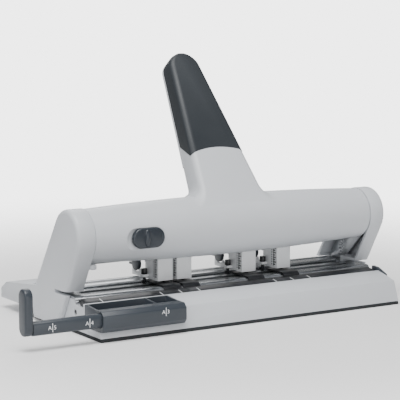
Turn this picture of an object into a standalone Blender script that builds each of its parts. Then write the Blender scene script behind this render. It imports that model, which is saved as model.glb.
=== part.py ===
"""Adjustable four-hole paper punch with a tube lever, in metres, +Z up.

The origin is the centre of the flat underside, on the surface that the punch stands on. +X runs
along the tube to the right, -Y points to the user. The lever turns forward about the tube's axis.
"""

import math

import bmesh
import bpy
from mathutils import Matrix, Vector

# ---- clearances -----------------------------------------------------------------------------
GAP = 0.0003
RUNNING_GAP = 0.0008
FLAT_ANGLE = math.radians(1)
CORNER_ANGLE = math.radians(17)

# ---- base ------------------------------------------------------------------------------------
BASE_LENGTH = 0.345
BASE_DEPTH = 0.140
BASE_WALL = 0.003
MAT_THICKNESS = 0.0032
TOE_RUN = 0.0075
TOE_HEIGHT = 0.0234
APRON_BREAK_RUN = 0.0205
APRON_BREAK_HEIGHT = 0.0271
RIM_RUN = 0.034
RIM_HEIGHT = 0.0303
GROOVE_FLOOR = 0.0260
REAR_EDGE_HEIGHT = 0.022
STRIP_FRONT_HEIGHT = 0.0298
STRIP_BACK_HEIGHT = 0.0325
STRIP_BACK_RUN = 0.0458
STRIP_END_CLEARANCE = 0.003

# ---- paper plate, punch line and rail ---------------------------------------------------------
PLATE_TOP = 0.0342
PLATE_THICKNESS = 0.0020
PLATE_NOSE_RUN = 0.0480
PLATE_BACK_RUN = 0.1160
NOSE_DROP = 0.0048
PUNCH_LINE_RUN = 0.068
PAPER_MARGIN = 0.012
THROAT = 0.0038
SLOT_WIDTH = 0.0100
RAIL_FRONT_RUN = 0.084
RAIL_WIDTH = 0.022
RAIL_HEIGHT = 0.0026
RAIL_GROOVE = 0.004
RAIL_END_CLEARANCE = 0.004

# ---- lever, tube and cheeks -------------------------------------------------------------------
AXIS_RUN = 0.057
AXIS_HEIGHT = 0.0895
PRESS_ANGLE = math.radians(75)
PRESS_STROKE = 0.010
TUBE_END_RADIUS = 0.0252
TUBE_MID_RADIUS = 0.0296
TUBE_WALL = 0.0025
CHEEK_WIDTH = 0.018
CHEEK_OVERHANG = 0.006
CHEEK_RADIUS = 0.026
CHEEK_WALL = 0.0025
CHEEK_ROUNDING = 0.004
FRONT_LEAN = math.radians(30)
REAR_LEAN = math.radians(34)
CHEEK_BACK_RUN = 0.129
BOOT_WIDTH = 0.040
BOOT_END_RUN = 0.2015
BOOT_UNDERSIDE = 0.0108
BOOT_TOP_FRONT = 0.0355
BOOT_TOP_BACK = 0.0280
SHAFT_RADIUS = 0.005
BUSH_WALL = 0.0025
FRAME_THICKNESS = 0.0025
FRAME_RADIUS = 0.015
HUB_THICKNESS = 0.006
CAM_BASE_RADIUS = 0.0125
CAM_THICKNESS = 0.0046
CAM_OVERRUN = math.radians(4)
FOLLOWER_RADIUS = 0.0035
FOLLOWER_CLEARANCE = 0.0006

# ---- handle: distances run along the handle from the point where it leaves the tube --------------
HANDLE_LEAN = math.radians(36.2)
HANDLE_FRONT_OFFSET = 0.0287
HANDLE_ROOT_STATION = 0.0168
HANDLE_LENGTH = 0.1685
HANDLE_ROOT_HALF_WIDTH = 0.0362
HANDLE_TAPER = 0.120
HANDLE_ROOT_DEPTH = 0.0257
HANDLE_TIP_DEPTH = 0.0205
HANDLE_TIP_RADIUS = 0.0145
HANDLE_CORNER = 0.005
PAD_START = 0.047
PAD_THICKNESS = 0.0024
HANDLE_BACK_THICKNESS = 0.003

# ---- punch units ---------------------------------------------------------------------------------
UNIT_PLACES = (-0.0680, -0.0465, 0.0295, 0.0720)
UNIT_WIDTH = 0.0165
UNIT_DEPTH = 0.016
UNIT_FRONT_RUN = 0.062
UNIT_FLOOR = 0.0025
BRACKET_THICKNESS = 0.002
BRACKET_BACK_RUN = 0.113
BRACKET_SILL_HEIGHT = 0.0066
PIN_RADIUS = 0.00275
ARM_WIDTH = 0.004
ARM_HEIGHT = 0.0045
DIE_FOOT_WIDTH = 0.019
DIE_FOOT_THICKNESS = 0.0015
LEVER_DISC_RADIUS = 0.0068
PLUNGER_KNOB_RADIUS = 0.0031
PLUNGER_STEM_RADIUS = 0.0016
BAR_FRONT_RUN = 0.088
BAR_DEPTH = 0.008
BAR_HEIGHT = 0.006
BAR_UNDERSIDE = 0.056
YOKE_THICKNESS = 0.0022
SPRING_RADIUS = 0.0022
SPRING_WIRE = 0.0004
SPRING_TURNS = 6

# ---- paper guide, chip drawer and lock --------------------------------------------------------------
GUIDE_LENGTH = 0.088
GUIDE_FRONT_RUN = -0.005
GUIDE_BACK_RUN = 0.031
GUIDE_UNDERSIDE = 0.0095
GUIDE_WALL = 0.0018
GUIDE_BAR_DEPTH = 0.0095
GUIDE_BAR_HEIGHT = 0.0130
GUIDE_BAR_CENTRE_RUN = 0.0020
GUIDE_BAR_CENTRE_HEIGHT = 0.0205
GUIDE_PULLED_OUT = 0.068
GUIDE_BAR_HELD = 0.022
PADDLE_THICKNESS = 0.008
PADDLE_WIDTH = 0.015
PADDLE_TOP = 0.0565
DRAWER_FRONT_RUN = 0.034
DRAWER_BACK_RUN = 0.110
DRAWER_HEIGHT = 0.017
DRAWER_WALL = 0.002
GRIP_THICKNESS = 0.0045
GRIP_FRONT_RUN = 0.0235
GRIP_BACK_RUN = 0.0445
LOCK_PLACE = -0.1056
LOCK_DROP = 0.0026
LOCK_LENGTH = 0.034
LOCK_WIDTH = 0.019
LOCK_TRAVEL = 0.005
LOCK_PROUD = 0.0022

# ---- places worked out from the sizes above --------------------------------------------------------
FRONT = -BASE_DEPTH / 2
BACK = BASE_DEPTH / 2
RIGHT = BASE_LENGTH / 2
AXIS_Y = FRONT + AXIS_RUN
PUNCH_Y = FRONT + PUNCH_LINE_RUN
PAPER_STOP_Y = PUNCH_Y + PAPER_MARGIN
THROAT_TOP = PLATE_TOP + THROAT
RAIL_TOP = PLATE_TOP + GAP + RAIL_HEIGHT
CHEEK_OUTER_X = RIGHT + CHEEK_OVERHANG
CHEEK_INNER_X = CHEEK_OUTER_X - CHEEK_WIDTH
TUBE_HALF_LENGTH = CHEEK_INNER_X - GAP
FRAME_INNER_X = CHEEK_OUTER_X - CHEEK_WALL - 0.002 - FRAME_THICKNESS
CAM_OUTER_X = FRAME_INNER_X - 0.0008
CAM_INNER_X = CAM_OUTER_X - CAM_THICKNESS
YOKE_OUTER_X = CAM_INNER_X - 0.0004
UNIT_BACK_Y = FRONT + UNIT_FRONT_RUN + UNIT_DEPTH
BAR_FRONT_Y = FRONT + BAR_FRONT_RUN
BAR_BACK_Y = BAR_FRONT_Y + BAR_DEPTH
BAR_TOP = BAR_UNDERSIDE + BAR_HEIGHT
LOCK_HEIGHT = AXIS_HEIGHT - LOCK_DROP

PARTS = "paper_punch"
CUTTERS = "paper_punch_cutters"

# A right-handed turn of the axes for each outline plane: local x, local y and the thickness.
PLANE_YZ = Matrix(((0, 0, 1, 0), (1, 0, 0, 0), (0, 1, 0, 0), (0, 0, 0, 1)))
PLANE_XZ = Matrix(((1, 0, 0, 0), (0, 0, -1, 0), (0, 1, 0, 0), (0, 0, 0, 1)))
PLANE_XY = Matrix.Identity(4)


def clear_scene():
    """Remove every object of the file that this script is run in."""
    for old in list(bpy.data.objects):
        bpy.data.objects.remove(old, do_unlink=True)


def make_collection(name):
    """Add a collection to the scene and return it."""
    collection = bpy.data.collections.new(name)
    bpy.context.scene.collection.children.link(collection)
    return collection


def make_material(name, colour, roughness, metallic):
    """Return a Principled BSDF material of one colour."""
    material = bpy.data.materials.new(name)
    material.use_nodes = True
    shader = material.node_tree.nodes["Principled BSDF"]
    shader.inputs["Base Color"].default_value = (*colour, 1.0)
    shader.inputs["Roughness"].default_value = roughness
    shader.inputs["Metallic"].default_value = metallic
    return material


def light_plastic(name):
    """Pale grey casing plastic."""
    return make_material(name, (0.58, 0.59, 0.62), 0.40, 0.0)


def dark_plastic(name):
    """Dark blue-grey plastic."""
    return make_material(name, (0.045, 0.050, 0.058), 0.45, 0.0)


def black_rubber(name):
    """Black rubber."""
    return make_material(name, (0.02, 0.02, 0.022), 0.75, 0.0)


def steel(name):
    """Bright machine steel."""
    return make_material(name, (0.60, 0.61, 0.62), 0.28, 1.0)


def add_object(name, mesh, material, collection=PARTS):
    """Link a mesh as an object that has its own material."""
    thing = bpy.data.objects.new(name, mesh)
    bpy.data.collections[collection].objects.link(thing)
    if material is not None:
        mesh.materials.clear()
        mesh.materials.append(material(name + "_finish"))
    mesh.shade_smooth()
    mesh.set_sharp_from_angle(angle=math.radians(32))
    return thing


def box_mesh(name, low, high):
    """A box between two corners."""
    bm = bmesh.new()
    bmesh.ops.create_cube(bm, size=1.0)
    size = Vector(high) - Vector(low)
    middle = (Vector(high) + Vector(low)) / 2
    bmesh.ops.transform(bm, verts=bm.verts, matrix=Matrix.Translation(middle) @ Matrix.Diagonal((*size, 1)))
    return finish_mesh(name, bm)


def rod_mesh(name, axis, centre, radius, start, end, segments=24):
    """A cylinder along X, Y or Z from start to end; centre gives the two other coordinates."""
    turns = {"X": PLANE_YZ, "Y": PLANE_XZ @ Matrix.Scale(-1, 4, (0, 0, 1)), "Z": PLANE_XY}
    places = {
        "X": ((start + end) / 2, centre[0], centre[1]),
        "Y": (centre[0], (start + end) / 2, centre[1]),
        "Z": (centre[0], centre[1], (start + end) / 2),
    }
    bm = bmesh.new()
    bmesh.ops.create_cone(bm, cap_ends=True, segments=segments, radius1=radius, radius2=radius, depth=end - start)
    bmesh.ops.transform(bm, verts=bm.verts, matrix=Matrix.Translation(places[axis]) @ turns[axis])
    return finish_mesh(name, bm)


def prism_mesh(name, outline, plane, start, end):
    """A flat outline given thickness: a filled 2D curve, extruded, then made a mesh."""
    curve = bpy.data.curves.new(name, "CURVE")
    curve.dimensions = "2D"
    curve.fill_mode = "BOTH"
    curve.extrude = (end - start) / 2
    spline = curve.splines.new("POLY")
    spline.points.add(len(outline) - 1)
    for point, (across, up) in zip(spline.points, outline):
        point.co = (across, up, 0, 1)
    spline.use_cyclic_u = True
    guide = bpy.data.objects.new(name + "_outline", curve)
    bpy.context.scene.collection.objects.link(guide)
    bpy.context.view_layer.update()
    evaluated = guide.evaluated_get(bpy.context.evaluated_depsgraph_get())
    mesh = bpy.data.meshes.new_from_object(evaluated)
    bpy.data.objects.remove(guide, do_unlink=True)
    bm = bmesh.new()
    bm.from_mesh(mesh)
    bpy.data.meshes.remove(mesh)
    bmesh.ops.remove_doubles(bm, verts=bm.verts, dist=0.00001)
    bmesh.ops.dissolve_limit(bm, angle_limit=FLAT_ANGLE, verts=bm.verts, edges=bm.edges)
    thickness_direction = -1 if plane == PLANE_XZ else 1
    shift = Matrix.Translation((0, 0, thickness_direction * (start + end) / 2))
    bmesh.ops.transform(bm, verts=bm.verts, matrix=plane @ shift)
    return finish_mesh(name, bm)


def finish_mesh(name, bm):
    """Turn the faces outward and store the mesh."""
    bmesh.ops.recalc_face_normals(bm, faces=bm.faces)
    mesh = bpy.data.meshes.new(name)
    bm.to_mesh(mesh)
    bm.free()
    return mesh


def round_edges(mesh, chosen, width, segments=3):
    """Round the edges for which chosen(start, end) is true."""
    bm = bmesh.new()
    bm.from_mesh(mesh)
    corners = [edge for edge in bm.edges if edge.calc_face_angle(0.0) > CORNER_ANGLE]
    edges = [edge for edge in corners if chosen(edge.verts[0].co, edge.verts[1].co)]
    bmesh.ops.bevel(
        bm, geom=edges, offset=width, segments=segments, profile=0.5, affect="EDGES",
        offset_type="OFFSET", material=-1, clamp_overlap=False,
    )
    bmesh.ops.remove_doubles(bm, verts=bm.verts, dist=0.00002)
    bmesh.ops.triangulate(bm, faces=[face for face in bm.faces if len(face.verts) > 4])
    bm.to_mesh(mesh)
    bm.free()
    return mesh


def combine(thing, mesh, operation):
    """Add or cut a mesh with an exact Boolean modifier."""
    cutter = add_object(thing.name + "_tool", mesh, None, CUTTERS)
    cutter.hide_render = True
    cutter.display_type = "WIRE"
    modifier = thing.modifiers.new(operation.lower(), "BOOLEAN")
    modifier.operation = operation
    modifier.solver = "EXACT"
    modifier.object = cutter
    return thing


def cut(thing, mesh):
    """Take a mesh's volume away."""
    return combine(thing, mesh, "DIFFERENCE")


def join(thing, mesh):
    """Add a mesh's volume."""
    return combine(thing, mesh, "UNION")


def pivot(name, place):
    """An empty on a joint's axis, to which the moving pieces are parented."""
    empty = bpy.data.objects.new(name, None)
    empty.empty_display_size = 0.01
    empty.location = place
    bpy.data.collections[PARTS].objects.link(empty)
    return empty


def ride(empty, *things):
    """Parent pieces to a joint's empty without moving them."""
    for thing in things:
        thing.parent = empty
        thing.matrix_parent_inverse = Matrix.Translation(empty.location).inverted()


def arc(centre, radius, first, last, steps):
    """Points of an arc, angles in radians from local x."""
    angles = [first + (last - first) * step / steps for step in range(steps + 1)]
    return [(centre[0] + radius * math.cos(a), centre[1] + radius * math.sin(a)) for a in angles]


# ---- base ---------------------------------------------------------------------------------------------

def base_outline(inset, bottom):
    """Side view of the base casing, front to back over the top; inset thins it to the inner wall."""
    deck = PLATE_TOP - PLATE_THICKNESS - GAP - inset
    groove = GROOVE_FLOOR - inset
    return [
        (FRONT + inset, bottom),
        (FRONT + TOE_RUN + inset, TOE_HEIGHT - inset * 0.8),
        (FRONT + APRON_BREAK_RUN, APRON_BREAK_HEIGHT - inset),
        (FRONT + RIM_RUN - inset * 0.5, min(RIM_HEIGHT - inset, groove + RIM_HEIGHT - GROOVE_FLOOR)),
        (FRONT + RIM_RUN, groove),
        (FRONT + PLATE_NOSE_RUN + inset, groove),
        (FRONT + PLATE_NOSE_RUN + 0.004 + inset, deck),
        (FRONT + PLATE_BACK_RUN, deck),
        (BACK - inset, REAR_EDGE_HEIGHT - inset),
        (BACK - inset, bottom),
    ]


def drawer_door():
    """The opening in the right end through which the chip drawer slides."""
    low = (RIGHT - BASE_WALL - 0.001, FRONT + DRAWER_FRONT_RUN - RUNNING_GAP, 0.001)
    high = (RIGHT + 0.01, FRONT + DRAWER_BACK_RUN + RUNNING_GAP, MAT_THICKNESS + DRAWER_HEIGHT + 2 * RUNNING_GAP)
    return box_mesh("drawer_door", low, high)


def build_base():
    """Casing, mat, ruler strip, plate and rail."""
    floor = MAT_THICKNESS + GAP
    casing = add_object(
        "base_shell", prism_mesh("base_shell", base_outline(0, floor), PLANE_YZ, -RIGHT, RIGHT), light_plastic)
    inside = base_outline(BASE_WALL, 0.001)
    cut(casing, prism_mesh("inside", inside, PLANE_YZ, -RIGHT + BASE_WALL, RIGHT - BASE_WALL))
    slot_front = PUNCH_Y - SLOT_WIDTH / 2
    cut(casing, box_mesh("chip_slot", (-RIGHT + 0.014, slot_front, 0.020), (RIGHT - 0.014, slot_front + SLOT_WIDTH, 0.05)))
    cut(casing, drawer_door())
    housing_room = box_mesh(
        "housing_room", (-RIGHT - 0.01, FRONT - 0.01, GUIDE_UNDERSIDE - GAP),
        (-RIGHT + GUIDE_LENGTH + GAP, FRONT + GUIDE_BACK_RUN + GAP, 0.05))
    cut(casing, housing_room)

    mat = box_mesh("base_mat", (-RIGHT, FRONT, 0), (RIGHT, BACK, MAT_THICKNESS))
    add_object("base_mat", mat, black_rubber)

    strip_front, strip_back = FRONT + RIM_RUN + GAP, FRONT + STRIP_BACK_RUN
    strip_floor = GROOVE_FLOOR + GAP
    strip = [
        (strip_front, strip_floor), (strip_back, strip_floor),
        (strip_back, STRIP_BACK_HEIGHT), (strip_front, STRIP_FRONT_HEIGHT),
    ]
    strip_end = RIGHT - STRIP_END_CLEARANCE
    add_object("ruler_strip", prism_mesh("ruler_strip", strip, PLANE_YZ, -strip_end, strip_end), dark_plastic)

    plate = add_object("paper_plate", prism_mesh("paper_plate", plate_outline(), PLANE_YZ, -RIGHT, RIGHT), steel)
    cut(plate, box_mesh("punch_slot", (-RIGHT + 0.014, slot_front, 0.02), (RIGHT - 0.014, slot_front + SLOT_WIDTH, 0.05)))

    rail_end = CHEEK_INNER_X - RAIL_END_CLEARANCE
    rail_low = (-rail_end, FRONT + RAIL_FRONT_RUN, PLATE_TOP + GAP)
    rail_high = (rail_end, FRONT + RAIL_FRONT_RUN + RAIL_WIDTH, RAIL_TOP)
    rail = add_object("guide_rail", box_mesh("guide_rail", rail_low, rail_high), steel)
    groove_y = FRONT + RAIL_FRONT_RUN + RAIL_WIDTH * 0.58
    cut(rail, box_mesh("rail_groove", (-rail_end - 0.01, groove_y, RAIL_TOP - 0.0015),
                       (rail_end + 0.01, groove_y + RAIL_GROOVE, RAIL_TOP + 0.01)))


def plate_outline():
    """Side view of the steel plate: flat, with its front bent down round the nose."""
    nose = FRONT + PLATE_NOSE_RUN
    outer = arc((nose + NOSE_DROP, PLATE_TOP - NOSE_DROP), NOSE_DROP, math.pi, math.pi / 2, 6)
    inner_radius = NOSE_DROP - PLATE_THICKNESS
    inner = arc((nose + NOSE_DROP, PLATE_TOP - NOSE_DROP), inner_radius, math.pi / 2, math.pi, 4)
    back = FRONT + PLATE_BACK_RUN
    return outer + [(back, PLATE_TOP), (back, PLATE_TOP - PLATE_THICKNESS)] + inner


# ---- cheeks ---------------------------------------------------------------------------------------------

def cheek_outline(inset, bottom):
    """Side view of a cheek: round head about the tube's axis and a leg that leans back."""
    radius = CHEEK_RADIUS - inset
    head = arc((AXIS_Y, AXIS_HEIGHT), radius, REAR_LEAN, math.pi + FRONT_LEAN, 18)
    rear_start, front_start = head[0], head[-1]
    rear_limit = FRONT + CHEEK_BACK_RUN - inset
    rear_z = rear_start[1] - (rear_limit - rear_start[0]) / math.tan(REAR_LEAN)
    front_y = front_start[0] + (front_start[1] - bottom) * math.tan(FRONT_LEAN)
    return head + [(front_y, bottom), (rear_limit, bottom), (rear_limit, rear_z)]


def boot_outline():
    """Side view of the wedge that runs back from the left cheek, clear of the floor."""
    end = FRONT + BOOT_END_RUN
    leg = FRONT + CHEEK_BACK_RUN
    return [
        (leg - 0.012, BOOT_UNDERSIDE),
        (end, BOOT_UNDERSIDE),
        (end, BOOT_UNDERSIDE + 0.0095),
        (end - 0.0125, BOOT_TOP_BACK),
        (leg - 0.012, BOOT_TOP_FRONT),
    ]


def build_cheek(side, name):
    """One hollow leg; side is -1 on the left and 1 on the right. The left one carries the boot."""
    outer, inner = side * CHEEK_OUTER_X, side * CHEEK_INNER_X
    mesh = prism_mesh(name, cheek_outline(0, MAT_THICKNESS + GAP), PLANE_YZ, min(outer, inner), max(outer, inner))

    def on_outer_face(a, b):
        return abs(a.x - outer) < 1e-5 and abs(b.x - outer) < 1e-5 and max(a.z, b.z) > 0.006

    cheek = add_object(name, round_edges(mesh, on_outer_face, CHEEK_ROUNDING, 4), light_plastic)
    if side < 0:
        near = outer + GAP
        boot = prism_mesh("boot", boot_outline(), PLANE_YZ, near, outer + BOOT_WIDTH)
        join(cheek, boot)
    skin = side * (RIGHT + GAP)
    far_inside = side * (RIGHT - 0.06)
    low = (min(skin, far_inside), FRONT - 0.01, -0.01)
    high = (max(skin, far_inside), BACK + GAP, PLATE_TOP + GAP)
    cut(cheek, box_mesh("base_room", low, high))
    throat_low = (min(outer, inner) - 0.01, FRONT - 0.02, PLATE_TOP + GAP / 2)
    cut(cheek, box_mesh("throat", throat_low, (max(outer, inner) + 0.01, PAPER_STOP_Y, THROAT_TOP)))
    wall = side * (CHEEK_OUTER_X - CHEEK_WALL)
    mouth = side * (CHEEK_INNER_X - 0.01)
    cut(cheek, prism_mesh("hollow", hollow_outline(), PLANE_YZ, min(wall, mouth), max(wall, mouth)))
    if side > 0:
        cut(cheek, drawer_door())
    return cheek


def hollow_outline():
    """Side view of the room inside a cheek, stepped over the paper throat."""
    inset = CHEEK_WALL
    shell = cheek_outline(inset, THROAT_TOP + inset)
    head, front_foot = shell[:19], shell[19]
    floor = PLATE_TOP + GAP / 2
    rear_y = head[0][0] + (head[0][1] - THROAT_TOP) * math.tan(REAR_LEAN)
    step = PAPER_STOP_Y + inset
    return head + [front_foot, (step, THROAT_TOP + inset), (step, floor), (rear_y, floor), (rear_y, THROAT_TOP)]


def frame_outline():
    """Side view of the steel side frame: a round head and a leg that stands behind the throat."""
    head = arc((AXIS_Y, AXIS_HEIGHT), FRAME_RADIUS, REAR_LEAN, math.pi + math.radians(38), 14)
    front = PAPER_STOP_Y + CHEEK_WALL + 0.0015
    back = FRONT + PLATE_BACK_RUN - 0.003
    foot = PLATE_TOP + GAP
    return head + [(front, THROAT_TOP + CHEEK_WALL + 0.001), (front, foot), (back, foot), (back, foot + 0.008)]


def build_side(side, word):
    """Cheek, steel frame, bearing bush and return spring of one end."""
    build_cheek(side, word + "_cheek")
    inner, outer = side * FRAME_INNER_X, side * (FRAME_INNER_X + FRAME_THICKNESS)
    low, high = min(inner, outer), max(inner, outer)
    frame = add_object(word + "_side_frame", prism_mesh("frame", frame_outline(), PLANE_YZ, low, high), steel)
    centre = (AXIS_Y, AXIS_HEIGHT)
    bush_radius = SHAFT_RADIUS + GAP + BUSH_WALL
    cut(frame, rod_mesh("bush_hole", "X", centre, bush_radius + GAP, low - 0.01, high + 0.01))
    bush = add_object(word + "_bearing_bush", rod_mesh("bush", "X", centre, bush_radius, low, high), dark_plastic)
    cut(bush, rod_mesh("bush_bore", "X", centre, SHAFT_RADIUS + GAP, low - 0.01, high + 0.01))
    build_spring(side, word)


def build_spring(side, word):
    """Compression spring under the end of the press bar: a helix with closed, flat ends."""
    foot = PLATE_TOP + 0.0006 + SPRING_WIRE
    top = BAR_UNDERSIDE - 0.0006 - SPRING_WIRE
    place = Vector((side * (CAM_INNER_X + 0.0022), BAR_FRONT_Y + BAR_DEPTH / 2, foot))
    steps = 10 * SPRING_TURNS
    curve = bpy.data.curves.new(word + "_return_spring", "CURVE")
    curve.dimensions = "3D"
    curve.bevel_depth = SPRING_WIRE
    curve.bevel_resolution = 1
    curve.use_fill_caps = True
    spline = curve.splines.new("POLY")
    spline.points.add(steps)
    for step, point in enumerate(spline.points):
        angle = 2 * math.pi * step / 10
        rise = (top - foot) * step / steps
        point.co = (SPRING_RADIUS * math.cos(angle), SPRING_RADIUS * math.sin(angle), rise, 1)
    guide = bpy.data.objects.new(word + "_spring_path", curve)
    bpy.context.scene.collection.objects.link(guide)
    bpy.context.view_layer.update()
    evaluated = guide.evaluated_get(bpy.context.evaluated_depsgraph_get())
    mesh = bpy.data.meshes.new_from_object(evaluated)
    bpy.data.objects.remove(guide, do_unlink=True)
    bm = bmesh.new()
    bm.from_mesh(mesh)
    bpy.data.meshes.remove(mesh)
    bmesh.ops.remove_doubles(bm, verts=bm.verts, dist=0.00001)
    bmesh.ops.transform(bm, verts=bm.verts, matrix=Matrix.Translation(place))
    return add_object(word + "_return_spring", finish_mesh(word + "_return_spring", bm), steel)


# ---- lever -------------------------------------------------------------------------------------------------

def tube_radius(x):
    """Radius of the barrel-shaped tube at a distance from its middle."""
    bulge = 1 - (x / TUBE_HALF_LENGTH) ** 2
    return TUBE_END_RADIUS + (TUBE_MID_RADIUS - TUBE_END_RADIUS) * bulge


def barrel_mesh(name, inset, overrun, segments=40):
    """The tube's solid of revolution; inset makes the smaller one that hollows it."""
    half = TUBE_HALF_LENGTH + overrun
    stations = 12
    mesh = rod_mesh(name, "X", (AXIS_Y, AXIS_HEIGHT), 1.0, -half, half, segments)
    bm = bmesh.new()
    bm.from_mesh(mesh)
    bpy.data.meshes.remove(mesh)
    for step in range(1, stations):
        place = (-half + 2 * half * step / stations, 0, 0)
        geometry = list(bm.verts) + list(bm.edges) + list(bm.faces)
        bmesh.ops.bisect_plane(bm, geom=geometry, plane_co=place, plane_no=(1, 0, 0))
    for vertex in bm.verts:
        radius = tube_radius(min(abs(vertex.co.x), TUBE_HALF_LENGTH)) - inset
        vertex.co.y = AXIS_Y + (vertex.co.y - AXIS_Y) * radius
        vertex.co.z = AXIS_HEIGHT + (vertex.co.z - AXIS_HEIGHT) * radius
    return finish_mesh(name, bm)


def handle_point(across, depth, station):
    """From the handle's own frame (across, depth behind its front face, station) to the world."""
    lean_sin, lean_cos = math.sin(HANDLE_LEAN), math.cos(HANDLE_LEAN)
    behind = depth - HANDLE_FRONT_OFFSET
    along = station + HANDLE_ROOT_STATION
    y = AXIS_Y + behind * lean_cos + along * lean_sin
    z = AXIS_HEIGHT - behind * lean_sin + along * lean_cos
    return (across, y, z)


def handle_half_width(station):
    """Half the handle's width: straight taper, rounded off at the tip."""
    width = HANDLE_ROOT_HALF_WIDTH - HANDLE_TAPER * station
    past = station - (HANDLE_LENGTH - HANDLE_TIP_RADIUS)
    if past > 0:
        width -= HANDLE_TIP_RADIUS - math.sqrt(max(HANDLE_TIP_RADIUS ** 2 - past ** 2, 0))
    return width


def handle_depth(station):
    """Thickness of the handle, front to back."""
    return HANDLE_ROOT_DEPTH + (HANDLE_TIP_DEPTH - HANDLE_ROOT_DEPTH) * max(station, 0) / HANDLE_LENGTH


def handle_stations(first):
    """Stations from first to the tip, closer together round the tip."""
    straight = HANDLE_LENGTH - HANDLE_TIP_RADIUS
    plain = [first + (straight - first) * step / 5 for step in range(6)]
    tip = [straight + HANDLE_TIP_RADIUS * math.sin(math.pi / 2 * step / 5) for step in range(1, 6)]
    return plain + tip


def loft_mesh(name, stations, section):
    """Skin a row of closed sections; each has the same number of corners."""
    bm = bmesh.new()
    rings = []
    for station in stations:
        rings.append([bm.verts.new(handle_point(*corner, station)) for corner in section(station)])
    count = len(rings[0])
    for lower, upper in zip(rings, rings[1:]):
        for index in range(count):
            after = (index + 1) % count
            bm.faces.new((lower[index], lower[after], upper[after], upper[index]))
    bm.faces.new(reversed(rings[0]))
    bm.faces.new(rings[-1])
    return finish_mesh(name, bm)


def back_strip_section(station):
    """Section across the light strip behind the pad."""
    front = handle_depth(station) - HANDLE_BACK_THICKNESS
    return handle_section(0, front, 0.0, 0.001)(station)


def handle_section(inset, front, back, corner=HANDLE_CORNER):
    """Section across the handle; inset narrows it, front and back move it in from its faces."""
    def section(station):
        half = handle_half_width(station) - inset
        near = front
        far = handle_depth(station) - back
        round_off = min(corner, half * 0.6)
        front_left = arc((-half + round_off, near + round_off), round_off, math.pi, 1.5 * math.pi, 4)
        front_right = arc((half - round_off, near + round_off), round_off, 1.5 * math.pi, 2 * math.pi, 4)
        return front_left + front_right + [(half, far), (-half, far)]
    return section


def build_lever():
    """Tube and handle in one casing, the pad, the back strip, shaft, hubs, cams and the lock."""
    axis = pivot("lever_axis", (0, AXIS_Y, AXIS_HEIGHT))
    cover = add_object("lever_cover", barrel_mesh("lever_cover", 0, 0), light_plastic)
    root_section = handle_section(0, 0.0, 0.0)
    root_stations = [-0.012, PAD_START - GAP]
    join(cover, loft_mesh("handle_root", root_stations, root_section))
    core_back = HANDLE_BACK_THICKNESS + GAP
    core_section = handle_section(PAD_THICKNESS + GAP, PAD_THICKNESS + GAP, core_back)
    core_stations = [PAD_START - 0.004] + handle_stations(PAD_START)[:-2]
    core_stations[-1] -= 2 * GAP
    join(cover, loft_mesh("handle_core", core_stations, core_section))
    cut(cover, barrel_mesh("tube_bore", TUBE_WALL, 0.004))
    lock_room = LOCK_LENGTH + LOCK_TRAVEL + 2 * GAP
    room = capsule_outline(LOCK_PLACE - LOCK_TRAVEL / 2, LOCK_HEIGHT, lock_room, LOCK_WIDTH + 2 * GAP)
    cut(cover, prism_mesh("lock_room", room, PLANE_XZ, AXIS_Y - 0.04, AXIS_Y - 0.015))

    pad = add_object("handle_pad", loft_mesh(
        "handle_pad", handle_stations(PAD_START), handle_section(0, 0.0, core_back)), dark_plastic)
    pad_room = handle_section(PAD_THICKNESS, PAD_THICKNESS, -0.002)
    cut(pad, loft_mesh("pad_room", [PAD_START - 0.01] + handle_stations(PAD_START)[:-2], pad_room))

    back_strip = back_strip_section
    strip = add_object("handle_back", loft_mesh("handle_back", handle_stations(PAD_START), back_strip), light_plastic)

    centre = (AXIS_Y, AXIS_HEIGHT)
    shaft_end = FRAME_INNER_X + FRAME_THICKNESS + 0.0008
    shaft = add_object("pivot_shaft", rod_mesh("shaft", "X", centre, SHAFT_RADIUS, -shaft_end, shaft_end), steel)
    ride(axis, cover, pad, strip, shaft)
    for side, word in ((-1, "left"), (1, "right")):
        hub_out, hub_in = side * TUBE_HALF_LENGTH, side * (TUBE_HALF_LENGTH - HUB_THICKNESS)
        low, high = min(hub_out, hub_in), max(hub_out, hub_in)
        hub_radius = TUBE_END_RADIUS - TUBE_WALL - GAP
        hub = add_object(word + "_hub", rod_mesh("hub", "X", centre, hub_radius, low, high, 32), dark_plastic)
        cut(hub, rod_mesh("hub_bore", "X", centre, SHAFT_RADIUS + GAP, low - 0.01, high + 0.01))
        cam_out, cam_in = side * CAM_OUTER_X, side * CAM_INNER_X
        low, high = min(cam_out, cam_in), max(cam_out, cam_in)
        cam = add_object(word + "_press_cam", prism_mesh("cam", cam_outline(), PLANE_YZ, low, high), steel)
        cut(cam, rod_mesh("cam_bore", "X", centre, SHAFT_RADIUS + GAP, low - 0.01, high + 0.01))
        ride(axis, hub, cam)
    ride(axis, build_lock())


def cam_outline():
    """Spiral cam: its radius grows evenly with the lever's angle, so the bar moves evenly."""
    rise = PRESS_STROKE / PRESS_ANGLE
    points = []
    for step in range(37):
        turn = -CAM_OVERRUN + (PRESS_ANGLE + 2 * CAM_OVERRUN) * step / 36
        radius = CAM_BASE_RADIUS + rise * turn
        points.append((AXIS_Y - radius * math.sin(turn), AXIS_HEIGHT - radius * math.cos(turn)))
    back = arc((AXIS_Y, AXIS_HEIGHT), CAM_BASE_RADIUS * 0.8, math.radians(140), math.radians(-70), 14)
    return points + back


def capsule_outline(centre_x, centre_z, length, width):
    """A slot shape: two half circles joined by straight sides."""
    radius = width / 2
    reach = length / 2 - radius
    right = arc((centre_x + reach, centre_z), radius, -math.pi / 2, math.pi / 2, 10)
    left = arc((centre_x - reach, centre_z), radius, math.pi / 2, 1.5 * math.pi, 10)
    return right + left


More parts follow.
